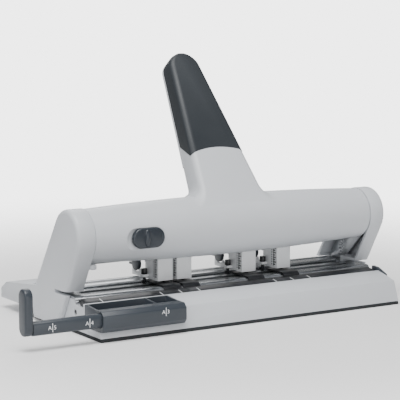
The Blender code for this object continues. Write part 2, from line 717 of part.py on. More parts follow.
def build_lock():
    """Oval lock slider in the tube's front, with a raised finger ridge."""
    outline = capsule_outline(LOCK_PLACE, LOCK_HEIGHT, LOCK_LENGTH, LOCK_WIDTH)
    face = AXIS_Y - tube_radius(LOCK_PLACE) - LOCK_PROUD
    mesh = prism_mesh("lock_slider", outline, PLANE_XZ, face, face + 0.009)

    def on_face(a, b):
        return abs(a.y - face) < 1e-5 and abs(b.y - face) < 1e-5

    lock = add_object("lock_slider", round_edges(mesh, on_face, 0.0016, 2), dark_plastic)
    ridge_low = (LOCK_PLACE - 0.0022, face - 0.0022, LOCK_HEIGHT - LOCK_WIDTH * 0.36)
    ridge_high = (LOCK_PLACE + 0.0022, face + 0.003, LOCK_HEIGHT + LOCK_WIDTH * 0.36)
    return join(lock, box_mesh("ridge", ridge_low, ridge_high))


# ---- press bar -----------------------------------------------------------------------------------------------

def build_press_bar():
    """Bar behind the tube that pushes the punch arms down, with its yokes and cam followers."""
    axis = pivot("press_bar_axis", (0, BAR_FRONT_Y + BAR_DEPTH / 2, BAR_UNDERSIDE))
    bar_end = FRAME_INNER_X - 0.0008
    bar = add_object("press_bar", box_mesh(
        "press_bar", (-bar_end, BAR_FRONT_Y, BAR_UNDERSIDE), (bar_end, BAR_BACK_Y, BAR_TOP)), steel)
    ride(axis, bar)
    follower_z = AXIS_HEIGHT - CAM_BASE_RADIUS - FOLLOWER_CLEARANCE - FOLLOWER_RADIUS
    for side, word in ((-1, "left"), (1, "right")):
        out, inside = side * YOKE_OUTER_X, side * (YOKE_OUTER_X - YOKE_THICKNESS)
        outline = [
            (AXIS_Y - 0.0045, follower_z - 0.0045), (AXIS_Y + 0.010, follower_z - 0.0045),
            (BAR_FRONT_Y, BAR_TOP + GAP), (BAR_BACK_Y, BAR_TOP + GAP), (BAR_BACK_Y, BAR_TOP + 0.006),
            (AXIS_Y + 0.006, follower_z + 0.0045), (AXIS_Y - 0.0045, follower_z + 0.0045),
        ]
        yoke = add_object(word + "_yoke", prism_mesh(
            "yoke", outline, PLANE_YZ, min(out, inside), max(out, inside)), steel)
        near = side * (YOKE_OUTER_X + GAP)
        far = side * (YOKE_OUTER_X + CAM_THICKNESS)
        follower = add_object(word + "_cam_follower", rod_mesh(
            "follower", "X", (AXIS_Y, follower_z), FOLLOWER_RADIUS, min(near, far), max(near, far), 20), dark_plastic)
        ride(axis, yoke, follower)


# ---- punch units ------------------------------------------------------------------------------------------------

def build_unit(number, place):
    """One punch unit: block and bracket, die foot, punch pin, release lever and index plunger."""
    slide = pivot("unit_%d_axis" % number, (place, UNIT_BACK_Y, THROAT_TOP))
    body = build_unit_body(number, place)
    foot = build_die_foot(number, place)
    ride(slide, body, foot)
    ride(pivot("pin_%d_axis" % number, (place, PUNCH_Y, THROAT_TOP)), build_punch_pin(number, place))
    lever_y, lever_z = disc_centre()
    lever_axis = pivot("release_%d_axis" % number, (place - UNIT_WIDTH / 2, lever_y, lever_z))
    ride(lever_axis, build_release_lever(number, place))
    ride(pivot("plunger_%d_axis" % number, (place, UNIT_BACK_Y, THROAT_TOP)), build_plunger(number, place))


def disc_centre():
    """Where the release lever's disc turns, behind the press bar."""
    return (BAR_BACK_Y + 0.0016 + LEVER_DISC_RADIUS, THROAT_TOP + 0.0118)


def build_unit_body(number, place):
    """Block under the tube, hollowed for the punch arm, with the bracket on its left side."""
    left, right = place - UNIT_WIDTH / 2, place + UNIT_WIDTH / 2
    front_y = FRONT + UNIT_FRONT_RUN
    name = "unit_body_%d" % number
    body = add_object(name, box_mesh(name, (left, front_y, THROAT_TOP), (right, UNIT_BACK_Y, AXIS_HEIGHT - 0.012)),
                      light_plastic)
    lever_y, lever_z = disc_centre()
    sill = THROAT_TOP + BRACKET_SILL_HEIGHT
    back = FRONT + BRACKET_BACK_RUN
    notch = arc((lever_y, lever_z), LEVER_DISC_RADIUS + 0.0012, math.pi, 1.75 * math.pi, 8)
    window_front = BAR_FRONT_Y - 0.0012
    bracket = [
        (UNIT_BACK_Y - 0.002, THROAT_TOP), (back, THROAT_TOP), (back, sill), notch[-1],
        *reversed(notch[2:-1]), (BAR_BACK_Y + 0.0006, sill - 0.0022), (window_front, sill - 0.0022),
        (window_front, THROAT_TOP + 0.018), (UNIT_BACK_Y - 0.002, THROAT_TOP + 0.018),
    ]
    join(body, prism_mesh("bracket", bracket, PLANE_YZ, left, left + BRACKET_THICKNESS))
    ear_y = UNIT_BACK_Y + 0.0012 + PLUNGER_KNOB_RADIUS
    ear_low = (plunger_x(place) - 0.0028, ear_y - 0.0028, THROAT_TOP + 0.002)
    join(body, box_mesh("ear", ear_low, (left + BRACKET_THICKNESS / 2, ear_y + 0.0028, THROAT_TOP + 0.0044)))
    cut(body, rod_mesh("stem_hole", "Z", (plunger_x(place), ear_y), PLUNGER_STEM_RADIUS + GAP, 0.02, 0.06, 16))
    clear_radius = TUBE_MID_RADIUS + 0.0006
    cut(body, rod_mesh("tube_room", "X", (AXIS_Y, AXIS_HEIGHT), clear_radius, left - 0.01, right + 0.01, 64))
    floor = THROAT_TOP + UNIT_FLOOR
    cut(body, box_mesh("arm_room", (place - ARM_WIDTH / 2 - 0.0006, PUNCH_Y - PIN_RADIUS - 0.001, floor),
                       (place + ARM_WIDTH / 2 + 0.0006, UNIT_BACK_Y + 0.01, AXIS_HEIGHT)))
    cut(body, rod_mesh("pin_bore", "Z", (place, PUNCH_Y), PIN_RADIUS + GAP, 0.02, AXIS_HEIGHT, 20))
    return body


def build_die_foot(number, place):
    """Black foot on the plate: lip over the nose, ramp for the paper and the die with its bore."""
    top = PLATE_TOP + GAP + DIE_FOOT_THICKNESS
    nose = FRONT + PLATE_NOSE_RUN
    drop = NOSE_DROP + GAP
    centre = (nose + NOSE_DROP, PLATE_TOP - NOSE_DROP)
    inner = arc(centre, drop, math.pi, math.pi / 2, 5)
    outer = arc(centre, drop + DIE_FOOT_THICKNESS, math.pi / 2, math.pi, 5)
    back = PAPER_STOP_Y - 0.0006
    outline = inner + [(back, PLATE_TOP + GAP), (back, top)] + outer
    left, right = place - DIE_FOOT_WIDTH / 2, place + DIE_FOOT_WIDTH / 2
    name = "die_foot_%d" % number
    foot = add_object(name, prism_mesh(name, outline, PLANE_YZ, left, right), dark_plastic)
    die_radius = SLOT_WIDTH / 2 - 2 * GAP
    join(foot, rod_mesh("die", "Z", (place, PUNCH_Y), die_radius, PLATE_TOP - 0.007, top - 0.0004, 20))
    cut(foot, rod_mesh("die_bore", "Z", (place, PUNCH_Y), PIN_RADIUS + GAP, 0.01, 0.05, 20))
    return foot


def build_punch_pin(number, place):
    """Steel punch with the arm that grips the press bar above and below."""
    tip = THROAT_TOP + 0.0006
    arm_top = BAR_UNDERSIDE - GAP
    arm_bottom = arm_top - ARM_HEIGHT
    name = "punch_pin_%d" % number
    pin = add_object(name, rod_mesh(name, "Z", (place, PUNCH_Y), PIN_RADIUS, tip, arm_bottom + 0.003, 20), steel)
    back = BAR_BACK_Y + 0.0026
    finger = BAR_TOP + GAP
    outline = [
        (PUNCH_Y - 0.001, arm_bottom), (back, arm_bottom), (back, finger + 0.0016),
        (BAR_FRONT_Y + 0.002, finger + 0.0016), (BAR_FRONT_Y + 0.002, finger),
        (BAR_BACK_Y + GAP, finger), (BAR_BACK_Y + GAP, arm_top), (PUNCH_Y - 0.001, arm_top),
    ]
    half = ARM_WIDTH / 2
    return join(pin, prism_mesh("arm", outline, PLANE_YZ, place - half, place + half))


def build_release_lever(number, place):
    """Small disc with a finger tongue that frees the unit's punch."""
    lever_y, lever_z = disc_centre()
    outer = place - UNIT_WIDTH / 2 + BRACKET_THICKNESS
    inner = outer - 0.0036
    name = "release_lever_%d" % number
    lever = add_object(name, rod_mesh(name, "X", (lever_y, lever_z), LEVER_DISC_RADIUS, inner, outer, 24), dark_plastic)
    tongue_low = (inner + 0.0006, lever_y + LEVER_DISC_RADIUS - 0.002, lever_z - 0.0022)
    tongue_high = (outer - 0.0006, lever_y + LEVER_DISC_RADIUS + 0.0065, lever_z)
    return join(lever, box_mesh("tongue", tongue_low, tongue_high))


def plunger_x(place):
    """Where the index plunger stands, left of the unit's block."""
    return place - UNIT_WIDTH / 2 - GAP - 0.0034


def build_plunger(number, place):
    """Black knob on a stem: lifted by hand, it frees the unit to slide along the rail."""
    knob_y = UNIT_BACK_Y + 0.0012 + PLUNGER_KNOB_RADIUS
    centre = (plunger_x(place), knob_y)
    knob_foot = THROAT_TOP + 0.0044 + GAP
    name = "index_plunger_%d" % number
    plunger = add_object(
        name, rod_mesh(name, "Z", centre, PLUNGER_STEM_RADIUS, PLATE_TOP + 0.0006, knob_foot + 0.002, 16), dark_plastic)
    return join(plunger, rod_mesh("knob", "Z", centre, PLUNGER_KNOB_RADIUS, knob_foot, knob_foot + 0.0055, 20))


# ---- guide, drawer and stops --------------------------------------------------------------------------------------

def rounded_outline(centre, width, height, radius, steps=4):
    """Rounded rectangle, anticlockwise."""
    reach_a, reach_b = width / 2 - radius, height / 2 - radius
    corners = ((1, -1, -math.pi / 2), (1, 1, 0), (-1, 1, math.pi / 2), (-1, -1, math.pi))
    points = []
    for side_a, side_b, start in corners:
        middle = (centre[0] + side_a * reach_a, centre[1] + side_b * reach_b)
        points += arc(middle, radius, start, start + math.pi / 2, steps)
    return points


def build_guide():
    """Housing with two compartments, and the bar and paddle that stop the paper's edge."""
    left, right = -RIGHT, -RIGHT + GUIDE_LENGTH
    front, back = FRONT + GUIDE_FRONT_RUN, FRONT + GUIDE_BACK_RUN
    bar_centre = (FRONT + GUIDE_BAR_CENTRE_RUN, GUIDE_BAR_CENTRE_HEIGHT)
    bar_top = bar_centre[1] + GUIDE_BAR_HEIGHT / 2
    roof = bar_top + GUIDE_WALL
    outline = [
        (front + 0.003, GUIDE_UNDERSIDE), (back, GUIDE_UNDERSIDE), (back, RIM_HEIGHT),
        (back - GUIDE_WALL, RIM_HEIGHT), (FRONT + 0.011, roof), (front + 0.004, roof), (front, roof - 0.004),
        (front, GUIDE_UNDERSIDE + 0.004),
    ]
    housing = add_object("guide_housing", prism_mesh("guide_housing", outline, PLANE_YZ, left, right), dark_plastic)
    pocket_front, pocket_back = FRONT + 0.0095, back - GUIDE_WALL
    split = left + GUIDE_LENGTH * 0.72
    for low_x, high_x in ((left + 0.0025, split - 0.001), (split + 0.001, right - 0.0025)):
        cut(housing, box_mesh("pocket", (low_x, pocket_front, GUIDE_UNDERSIDE + 0.004), (high_x, pocket_back, 0.05)))
    channel = rounded_outline(bar_centre, GUIDE_BAR_DEPTH + 2 * GAP, GUIDE_BAR_HEIGHT + 2 * GAP, 0.0040)
    cut(housing, prism_mesh("channel", channel, PLANE_YZ, left - 0.01, right - 0.0025))

    axis = pivot("paper_guide_axis", (left, *bar_centre))
    bar_left, bar_right = left - GUIDE_PULLED_OUT, left + GUIDE_BAR_HELD
    bar_shape = rounded_outline(bar_centre, GUIDE_BAR_DEPTH, GUIDE_BAR_HEIGHT, 0.0038)
    bar = add_object("guide_bar", prism_mesh("guide_bar", bar_shape, PLANE_YZ, bar_left, bar_right), dark_plastic)
    paddle_foot = bar_centre[1] - GUIDE_BAR_HEIGHT / 2
    paddle_y = bar_centre[0] + 0.0015
    paddle_centre = (paddle_y, (paddle_foot + PADDLE_TOP) / 2)
    shape = rounded_outline(paddle_centre, PADDLE_WIDTH, PADDLE_TOP - paddle_foot, PADDLE_WIDTH / 2 - 0.0002, 6)
    paddle = add_object("guide_paddle", prism_mesh(
        "guide_paddle", shape, PLANE_YZ, bar_left - GAP - PADDLE_THICKNESS, bar_left - GAP), dark_plastic)
    ride(axis, bar, paddle)


def build_drawer():
    """Chip drawer under the die slot; its grip stands proud of the right end."""
    front, back = FRONT + DRAWER_FRONT_RUN, FRONT + DRAWER_BACK_RUN
    floor = MAT_THICKNESS + GAP
    top = floor + DRAWER_HEIGHT
    left, right = -RIGHT + BASE_WALL + 0.002, RIGHT - GAP
    drawer = add_object("chip_drawer", box_mesh("chip_drawer", (left, front, floor), (right, back, top)), dark_plastic)
    cut(drawer, box_mesh("drawer_room", (left + DRAWER_WALL, front + DRAWER_WALL, floor + DRAWER_WALL),
                         (right - DRAWER_WALL, back - DRAWER_WALL, top + 0.01)))
    grip_front, grip_back = FRONT + GRIP_FRONT_RUN, FRONT + GRIP_BACK_RUN
    grip = [
        (grip_back, floor + 0.004), (grip_back, RIM_HEIGHT + 0.0034), (grip_back - 0.008, RIM_HEIGHT + 0.0026),
        (grip_front, APRON_BREAK_HEIGHT + 0.0004), (grip_front, floor + 0.010), (grip_front + 0.006, floor + 0.004),
    ]
    mesh = prism_mesh("drawer_grip", grip, PLANE_YZ, RIGHT, RIGHT + GRIP_THICKNESS)

    def on_outer_face(a, b):
        return min(a.x, b.x) > RIGHT + GRIP_THICKNESS - 1e-5

    grip_piece = add_object("drawer_grip", round_edges(mesh, on_outer_face, 0.0012, 2), dark_plastic)
    ride(pivot("chip_drawer_axis", (RIGHT, (front + back) / 2, floor)), drawer, grip_piece)


def build_bumper():
    """Rest stop on the left cheek, just under the tube's end."""
    low = (-CHEEK_INNER_X + GAP, AXIS_Y - 0.016, AXIS_HEIGHT - 0.0300)
    high = (-CHEEK_INNER_X + 0.0065, AXIS_Y - 0.008, AXIS_HEIGHT - 0.0250)
    add_object("rest_bumper", box_mesh("rest_bumper", low, high), light_plastic)


def main():
    """Build the whole punch."""
    clear_scene()
    make_collection(PARTS)
    make_collection(CUTTERS)
    build_base()
    build_side(-1, "left")
    build_side(1, "right")
    build_lever()
    build_press_bar()
    for number, place in enumerate(UNIT_PLACES, start=1):
        build_unit(number, place)
    build_guide()
    build_drawer()
    build_bumper()


main()
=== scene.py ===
# %% [markdown]
# # An adjustable paper punch
# This punch is a heavy office tool: a lever that grows out of a barrel-shaped tube, four punch
# units on a steel rail, and a wide base where the paper lies. The sizes and the moving bodies come
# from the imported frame; here every piece gets its finish, and the softly shaped ones are rebuilt.
# All lengths are metres. +X runs along the tube to the right, -Y points to the user, +Z is up.

# %% Open the frame
import math

import bmesh
import bpy
from mathutils import Matrix, Vector


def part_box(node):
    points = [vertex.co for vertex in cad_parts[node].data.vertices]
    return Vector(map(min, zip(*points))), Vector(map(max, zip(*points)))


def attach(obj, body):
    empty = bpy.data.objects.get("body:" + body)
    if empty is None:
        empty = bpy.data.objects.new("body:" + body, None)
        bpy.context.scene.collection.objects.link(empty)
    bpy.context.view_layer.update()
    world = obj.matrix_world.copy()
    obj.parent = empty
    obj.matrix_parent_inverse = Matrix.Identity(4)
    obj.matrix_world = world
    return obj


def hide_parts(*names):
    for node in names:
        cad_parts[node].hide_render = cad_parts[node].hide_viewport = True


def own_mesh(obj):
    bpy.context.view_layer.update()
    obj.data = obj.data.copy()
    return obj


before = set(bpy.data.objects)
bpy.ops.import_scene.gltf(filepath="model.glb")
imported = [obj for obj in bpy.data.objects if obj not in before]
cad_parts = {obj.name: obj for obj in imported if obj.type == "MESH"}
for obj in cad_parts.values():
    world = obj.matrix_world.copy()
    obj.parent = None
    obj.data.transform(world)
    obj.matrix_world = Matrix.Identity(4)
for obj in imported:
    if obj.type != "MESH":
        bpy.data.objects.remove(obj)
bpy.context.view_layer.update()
MM = 0.001
print("CAD nodes:", len(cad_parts))

# %% [markdown]
# ## Colours and node trees
# A colour picker shows sRGB values, but a shader wants linear ones, so one function turns a hex
# string into linear numbers. A second small function adds any node with its settings and links.

# %% Colour and node helpers
def linear(code):
    """Linear RGBA from an sRGB hex string."""
    parts = [int(code[start:start + 2], 16) / 255 for start in (1, 3, 5)]
    return (*[p / 12.92 if p <= 0.04045 else ((p + 0.055) / 1.055) ** 2.4 for p in parts], 1.0)


def add_node(tree, kind, settings, links):
    """Add a node, set its properties and inputs, and link inputs to other nodes' sockets."""
    node = tree.nodes.new(kind)
    for key, value in settings.items():
        if hasattr(node, key) and key not in node.inputs:
            setattr(node, key, value)
        else:
            node.inputs[key].default_value = value
    for key, socket in links.items():
        tree.links.new(socket, node.inputs[key])
    return node


def blank_material(name, colour, roughness, metallic=0.0):
    """A material with one Principled shader whose plain values are set on its own sockets."""
    material = bpy.data.materials.new(name)
    material.use_nodes = True
    shader = material.node_tree.nodes["Principled BSDF"]
    shader.inputs["Base Color"].default_value = linear(colour)
    shader.inputs["Roughness"].default_value = roughness
    shader.inputs["Metallic"].default_value = metallic
    return material, material.node_tree, shader


print("sRGB middle grey in linear light:", round(linear("#808080")[0], 3))

# %% [markdown]
# ## Moulded plastics
# The casing is injection-moulded ABS. Its steel mould was spark-eroded, which leaves a fine even
# grit: the eye sees a satin sheen with no sharp reflections. A noise with cells of the grit's size
# drives a shallow bump, and a much slower noise moves the colour and the roughness a little, as
# handling and flow lines do. The real grit is about 0.1 mm, too fine to show, so it is drawn at 0.5 mm.

# %% Plastic finishes
GRIT = 0.5 * MM
FLOW = 45 * MM
# How deep the grit is, and how far the slow noise moves the roughness.
GRIT_DEPTH = 0.05 * MM
GLOSSIER, DULLER = 0.04, 0.05
# A noise seldom leaves this range, so the range is what gets stretched.
NOISE_LOW, NOISE_HIGH = 0.3, 0.7
# A Mix node has inputs of every type; its two colours and its colour result are at these places.
MIX_FIRST, MIX_SECOND, MIX_RESULT = 6, 7, 2


def moulded_plastic(name, colour, other, roughness, bump, grit=GRIT):
    """Moulded plastic: grit bump, and slow drifts of colour and roughness."""
    material, tree, shader = blank_material(name, colour, roughness)
    place = add_node(tree, "ShaderNodeTexCoord", {}, {}).outputs["Object"]
    fine = add_node(tree, "ShaderNodeTexNoise", {"Scale": 1 / grit, "Detail": 2.0}, {"Vector": place})
    slow = add_node(tree, "ShaderNodeTexNoise", {"Scale": 1 / FLOW, "Detail": 3.0}, {"Vector": place})
    tint = add_node(tree, "ShaderNodeMix", {"data_type": "RGBA"}, {"Factor": slow.outputs["Fac"]})
    tint.inputs[MIX_FIRST].default_value = linear(colour)
    tint.inputs[MIX_SECOND].default_value = linear(other)
    tree.links.new(tint.outputs[MIX_RESULT], shader.inputs["Base Color"])
    gloss = add_node(tree, "ShaderNodeMapRange", {
        "From Min": NOISE_LOW, "From Max": NOISE_HIGH,
        "To Min": roughness - GLOSSIER, "To Max": roughness + DULLER,
    }, {"Value": slow.outputs["Fac"]})
    tree.links.new(gloss.outputs["Result"], shader.inputs["Roughness"])
    grain = add_node(tree, "ShaderNodeBump", {"Strength": bump, "Distance": GRIT_DEPTH}, {
        "Height": fine.outputs["Fac"]})
    tree.links.new(grain.outputs["Normal"], shader.inputs["Normal"])
    return material


# %% [markdown]
# Each plastic of the tool gets its own colour, gloss and grit. The second colour is where the
# slow noise drifts to.

# %% The tool's plastics
# Light grey ABS of the casing: satin, slightly cool.
casing_abs = moulded_plastic("moulded ABS, light grey", "#C0C3C7", "#C4C7CB", 0.42, 0.25)
# The punch blocks are a smoother, whiter ABS.
block_abs = moulded_plastic("moulded ABS, off-white", "#EEF0F2", "#F1F3F4", 0.36, 0.12)
# Dark slate ABS of the guide, the lock and the small levers.
slate_abs = moulded_plastic("moulded ABS, dark slate", "#2F353C", "#343A41", 0.36, 0.25)
# The lock button is the same plastic from a polished mould, so it shows clear highlights.
polished_slate = moulded_plastic("moulded ABS, dark slate, polished", "#262C33", "#2A3037", 0.27, 0.04)
# Black acetal of the die feet and the index knobs: waxy and dark.
black_acetal = moulded_plastic("turned acetal, black", "#1E2023", "#232529", 0.35, 0.08)
# The grip pad is a soft thermoplastic rubber, rougher and a little deeper in colour.
grip_rubber = moulded_plastic("thermoplastic rubber, slate", "#22272C", "#262B30", 0.50, 0.40, 0.7 * MM)
# The mat under the base is plain black rubber.
mat_rubber = moulded_plastic("vulcanised rubber, black", "#202326", "#24272A", 0.80, 0.45, 0.9 * MM)
# White pad-printing ink for the marks, and black ink for the scales.
white_ink = moulded_plastic("pad-printed ink, white", "#E8EAEC", "#F0F1F2", 0.50, 0.05)
black_ink = moulded_plastic("pad-printed ink, black", "#26282B", "#2E3033", 0.50, 0.05)
print("plastics:", len(bpy.data.materials))

# %% [markdown]
# ## Metals
# The plate is cold-rolled steel, ground along its length and nickel plated: long fine lines run
# along X. A noise that is squeezed hard across the lines gives them, on the roughness and as a
# slight bump. Turned and stamped parts carry the same metal with a finer, shorter grain.
# Real grinding lines are about 0.05 mm apart; they are drawn 0.4 mm apart so that they show.

# %% Metal finishes
LINE_DEPTH = 0.02 * MM
LINES_GLOSSIER, LINES_DULLER = 0.06, 0.10
DARKEST_LINE = 0.86


def ground_steel(name, colour, roughness, line_gap, line_length, bump):
    """Steel with grinding lines along X."""
    material, tree, shader = blank_material(name, colour, roughness, metallic=1.0)
    place = add_node(tree, "ShaderNodeTexCoord", {}, {}).outputs["Object"]
    squeeze = add_node(tree, "ShaderNodeMapping", {
        "Scale": (1 / line_length, 1 / line_gap, 1 / line_gap)}, {"Vector": place})
    lines = add_node(tree, "ShaderNodeTexNoise", {"Scale": 1.0, "Detail": 3.0}, {
        "Vector": squeeze.outputs["Vector"]})
    gloss = add_node(tree, "ShaderNodeMapRange", {
        "From Min": NOISE_LOW, "From Max": NOISE_HIGH,
        "To Min": roughness - LINES_GLOSSIER, "To Max": roughness + LINES_DULLER,
    }, {"Value": lines.outputs["Fac"]})
    tree.links.new(gloss.outputs["Result"], shader.inputs["Roughness"])
    tone = add_node(tree, "ShaderNodeMapRange", {
        "From Min": NOISE_LOW, "From Max": NOISE_HIGH, "To Min": DARKEST_LINE, "To Max": 1.0,
    }, {"Value": lines.outputs["Fac"]})
    shade = add_node(tree, "ShaderNodeMix", {
        "data_type": "RGBA", "blend_type": "MULTIPLY", "Factor": 1.0}, {})
    shade.inputs[MIX_FIRST].default_value = linear(colour)
    tree.links.new(tone.outputs["Result"], shade.inputs[MIX_SECOND])
    tree.links.new(shade.outputs[MIX_RESULT], shader.inputs["Base Color"])
    relief = add_node(tree, "ShaderNodeBump", {"Strength": bump, "Distance": LINE_DEPTH}, {
        "Height": lines.outputs["Fac"]})
    tree.links.new(relief.outputs["Normal"], shader.inputs["Normal"])
    return material


# Nickel-plated plate and rail: bright, long lines.
plate_steel = ground_steel("ground steel, nickel plated", "#B4B7BA", 0.24, 0.4 * MM, 30 * MM, 0.2)
# Stamped frames, cams, bar and pins: a bit darker and duller.
stamped_steel = ground_steel("stamped steel, zinc plated", "#A3A6AA", 0.34, 0.5 * MM, 6 * MM, 0.25)
print("materials:", [m.name for m in bpy.data.materials])

# %% [markdown]
# ## Turning a mesh into a piece
# Each finished mesh becomes an object at the origin. It then rides on its CAD body, so that it
# moves with the joint, and takes the place of the CAD node that it refines. Sharp edges are
# marked by angle, so flat faces stay flat and round ones look round.

# %% Piece helper
# Edges sharper than this stay sharp; the rounder pieces use the larger angle, in degrees.
SHARP_ANGLE, ROUND_ANGLE = 32, 40


def make_piece(name, bm, body, material, replaced=(), sharp_angle=SHARP_ANGLE):
    """Store a bmesh as an object that rides on a body and stands for CAD nodes."""
    bmesh.ops.recalc_face_normals(bm, faces=bm.faces)
    mesh = bpy.data.meshes.new(name)
    bm.to_mesh(mesh)
    bm.free()
    mesh.materials.clear()
    mesh.materials.append(material)
    mesh.shade_smooth()
    mesh.set_sharp_from_angle(angle=math.radians(sharp_angle))
    thing = bpy.data.objects.new(name, mesh)
    bpy.context.scene.collection.objects.link(thing)
    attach(thing, body)
    if replaced:
        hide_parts(*replaced)
    print(name, "faces:", len(mesh.polygons), "rides on", body)
    return thing


# %% [markdown]
# ## Softening the plain pieces
# No moulded or stamped part has a truly sharp edge: a small radius catches a line of light. Most
# pieces already have the right shape in the frame, so a merged copy of the node gets its flat
# faces joined and its corners bevelled. Moulded edges get 0.3 to 0.5 mm, stamped ones about 0.2 mm.

# %% Softened copies of CAD nodes
NODE_GAP, BEVEL_GAP = 0.002 * MM, 0.001 * MM
FLAT_ANGLE, CORNER_ANGLE = math.radians(0.6), math.radians(28)


def merged_copy(node):
    """The node's triangles with doubles merged and flat areas joined into single faces."""
    bm = bmesh.new()
    bm.from_mesh(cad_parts[node].data)
    bmesh.ops.remove_doubles(bm, verts=bm.verts, dist=NODE_GAP)
    bmesh.ops.dissolve_limit(bm, angle_limit=FLAT_ANGLE, verts=bm.verts, edges=bm.edges)
    return bm


def bevel_corners(bm, width, segments=2, corner=CORNER_ANGLE):
    """Round every corner of a closed mesh that is sharper than the given angle."""
    edges = [e for e in bm.edges if len(e.link_faces) == 2 and e.calc_face_angle(0.0) > corner]
    bmesh.ops.bevel(bm, geom=edges, offset=width, offset_type="OFFSET", segments=segments,
                    profile=0.5, affect="EDGES", material=-1, clamp_overlap=True)
    bmesh.ops.remove_doubles(bm, verts=bm.verts, dist=BEVEL_GAP)
    return bm


def soften(node, body, material, width, segments=2):
    """A softened copy of one CAD node, in its finish."""
    bm = bevel_corners(merged_copy(node), width, segments)
    return make_piece(node + "_finished", bm, body, material, (node,))


# %% [markdown]
# ## Fixed pieces of the base
# Under the casing lies a black mat that sticks out a hair,
# the dark strip lies in the groove behind the apron, and the bright plate carries the paper.

# %% Base, mat, strip, plate and rail
# Edge radii by how the part is made.
PLATE_EDGE, STAMPED_EDGE, RAIL_EDGE = 0.15 * MM, 0.2 * MM, 0.25 * MM
THIN_EDGE, BLOCK_EDGE, MOULDED_EDGE, TURNED_EDGE = 0.3 * MM, 0.35 * MM, 0.4 * MM, 0.5 * MM
BUMPER_EDGE = 1.2 * MM

soften("base_mat", "base", mat_rubber, TURNED_EDGE)
soften("ruler_strip", "base", black_acetal, THIN_EDGE)
soften("paper_plate", "base", plate_steel, PLATE_EDGE)
soften("guide_rail", "base", plate_steel, RAIL_EDGE)
for side in ("left", "right"):
    soften(side + "_side_frame", "base", stamped_steel, STAMPED_EDGE)
    soften(side + "_bearing_bush", "base", slate_abs, STAMPED_EDGE)
soften("rest_bumper", "base", casing_abs, BUMPER_EDGE, 3)

# %% [markdown]
# ## Return springs
# Two coil springs inside the cheeks push the press bar up again. They are wound from round wire,
# and the frame's helix is already fine enough for a copy. Each copy rides on the base.

# %% Spring copies
for side in ("left", "right"):
    node = side + "_return_spring"
    coil = bmesh.new()
    coil.from_mesh(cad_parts[node].data)
    bmesh.ops.remove_doubles(coil, verts=coil.verts, dist=BEVEL_GAP)
    spring = make_piece(side + "_spring_coil", coil, "base", stamped_steel, (node,))
    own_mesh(spring)

# %% [markdown]
# ## Cutting one solid with another
# A hole or a joint between two round shapes is quickest as a Boolean: both solids become
# short-lived objects, the exact solver combines them, and only the result is kept.

# %% Boolean helper
def combined(bm, other, operation):
    """The exact Boolean of two bmeshes as a new bmesh."""
    things = []
    for name, source in (("kept_solid", bm), ("tool_solid", other)):
        bmesh.ops.recalc_face_normals(source, faces=source.faces)
        mesh = bpy.data.meshes.new(name)
        source.to_mesh(mesh)
        source.free()
        thing = bpy.data.objects.new(name, mesh)
        bpy.context.scene.collection.objects.link(thing)
        things.append(thing)
    modifier = things[0].modifiers.new("combine", "BOOLEAN")
    modifier.operation = operation
    modifier.solver = "EXACT"
    modifier.object = things[1]
    bpy.context.view_layer.update()
    evaluated = things[0].evaluated_get(bpy.context.evaluated_depsgraph_get())
    result = bmesh.new()
    result.from_mesh(evaluated.to_mesh())
    for thing in things:
        mesh = thing.data
        bpy.data.objects.remove(thing)
        bpy.data.meshes.remove(mesh)
    print("after", operation, "faces:", len(result.faces))
    return result


# %% [markdown]
# ## Blocks and rods
# Cutting tools and printed marks are boxes and cylinders. A box is a cube that is stretched
# between two corners, and several boxes may share one mesh.

# %% Blocks and rods
def slabs(boxes):
    """Boxes, each between two corners, in one mesh."""
    bm = bmesh.new()
    for low, high in boxes:
        low, high = Vector(low), Vector(high)
        place = Matrix.Translation((low + high) / 2) @ Matrix.Diagonal((*(high - low), 1.0))
        bmesh.ops.create_cube(bm, size=1.0, matrix=place)
    return bm


def rod(centre, direction, radius, length, segments=32):
    """A cylinder along a direction, centred on a point."""
    bm = bmesh.new()
    turn = Vector((0, 0, 1)).rotation_difference(Vector(direction)).to_matrix().to_4x4()
    bmesh.ops.create_cone(bm, cap_ends=True, segments=segments, radius1=radius, radius2=radius,
                          depth=length, matrix=Matrix.Translation(centre) @ turn)
    return bm


# %% [markdown]
# ## The base casing
# The casing's left end has a round hole with a dark rubber plug behind it. The hole is cut
# through the wall before the corners are rounded.

# %% Base casing
HOLE_RUN, HOLE_HEIGHT = 50 * MM, 20 * MM
HOLE_RADIUS, HOLE_DEPTH = 2.8 * MM, 8 * MM
PLUG_RADIUS, PLUG_THICKNESS, PLUG_SET_BACK = 3.4 * MM, 1.6 * MM, 2.2 * MM
CASING_EDGE = 0.7 * MM
ALONG_TUBE = (1, 0, 0)

base_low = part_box("base_shell")[0]
hole_at = Vector((base_low.x, base_low.y + HOLE_RUN, HOLE_HEIGHT))
drill = rod(hole_at, ALONG_TUBE, HOLE_RADIUS, HOLE_DEPTH)
casing = combined(merged_copy("base_shell"), drill, "DIFFERENCE")
bmesh.ops.dissolve_limit(casing, angle_limit=FLAT_ANGLE, verts=casing.verts, edges=casing.edges)
casing = bevel_corners(casing, CASING_EDGE, 3)
make_piece("base_casing", casing, "base", casing_abs, ("base_shell",))
plug = rod(hole_at + Vector((PLUG_SET_BACK, 0, 0)), ALONG_TUBE, PLUG_RADIUS, PLUG_THICKNESS)
make_piece("hole_plug", bevel_corners(plug, THIN_EDGE), "base", mat_rubber)

# %% [markdown]
# ## The cheeks
# Two hollow legs hold the tube. Their outer corner is already a generous round in the frame; the
# rims of the paper slot and of the hollow get a fine radius.

# %% Cheeks
for side in ("left", "right"):
    soften(side + "_cheek", "base", casing_abs, BLOCK_EDGE)

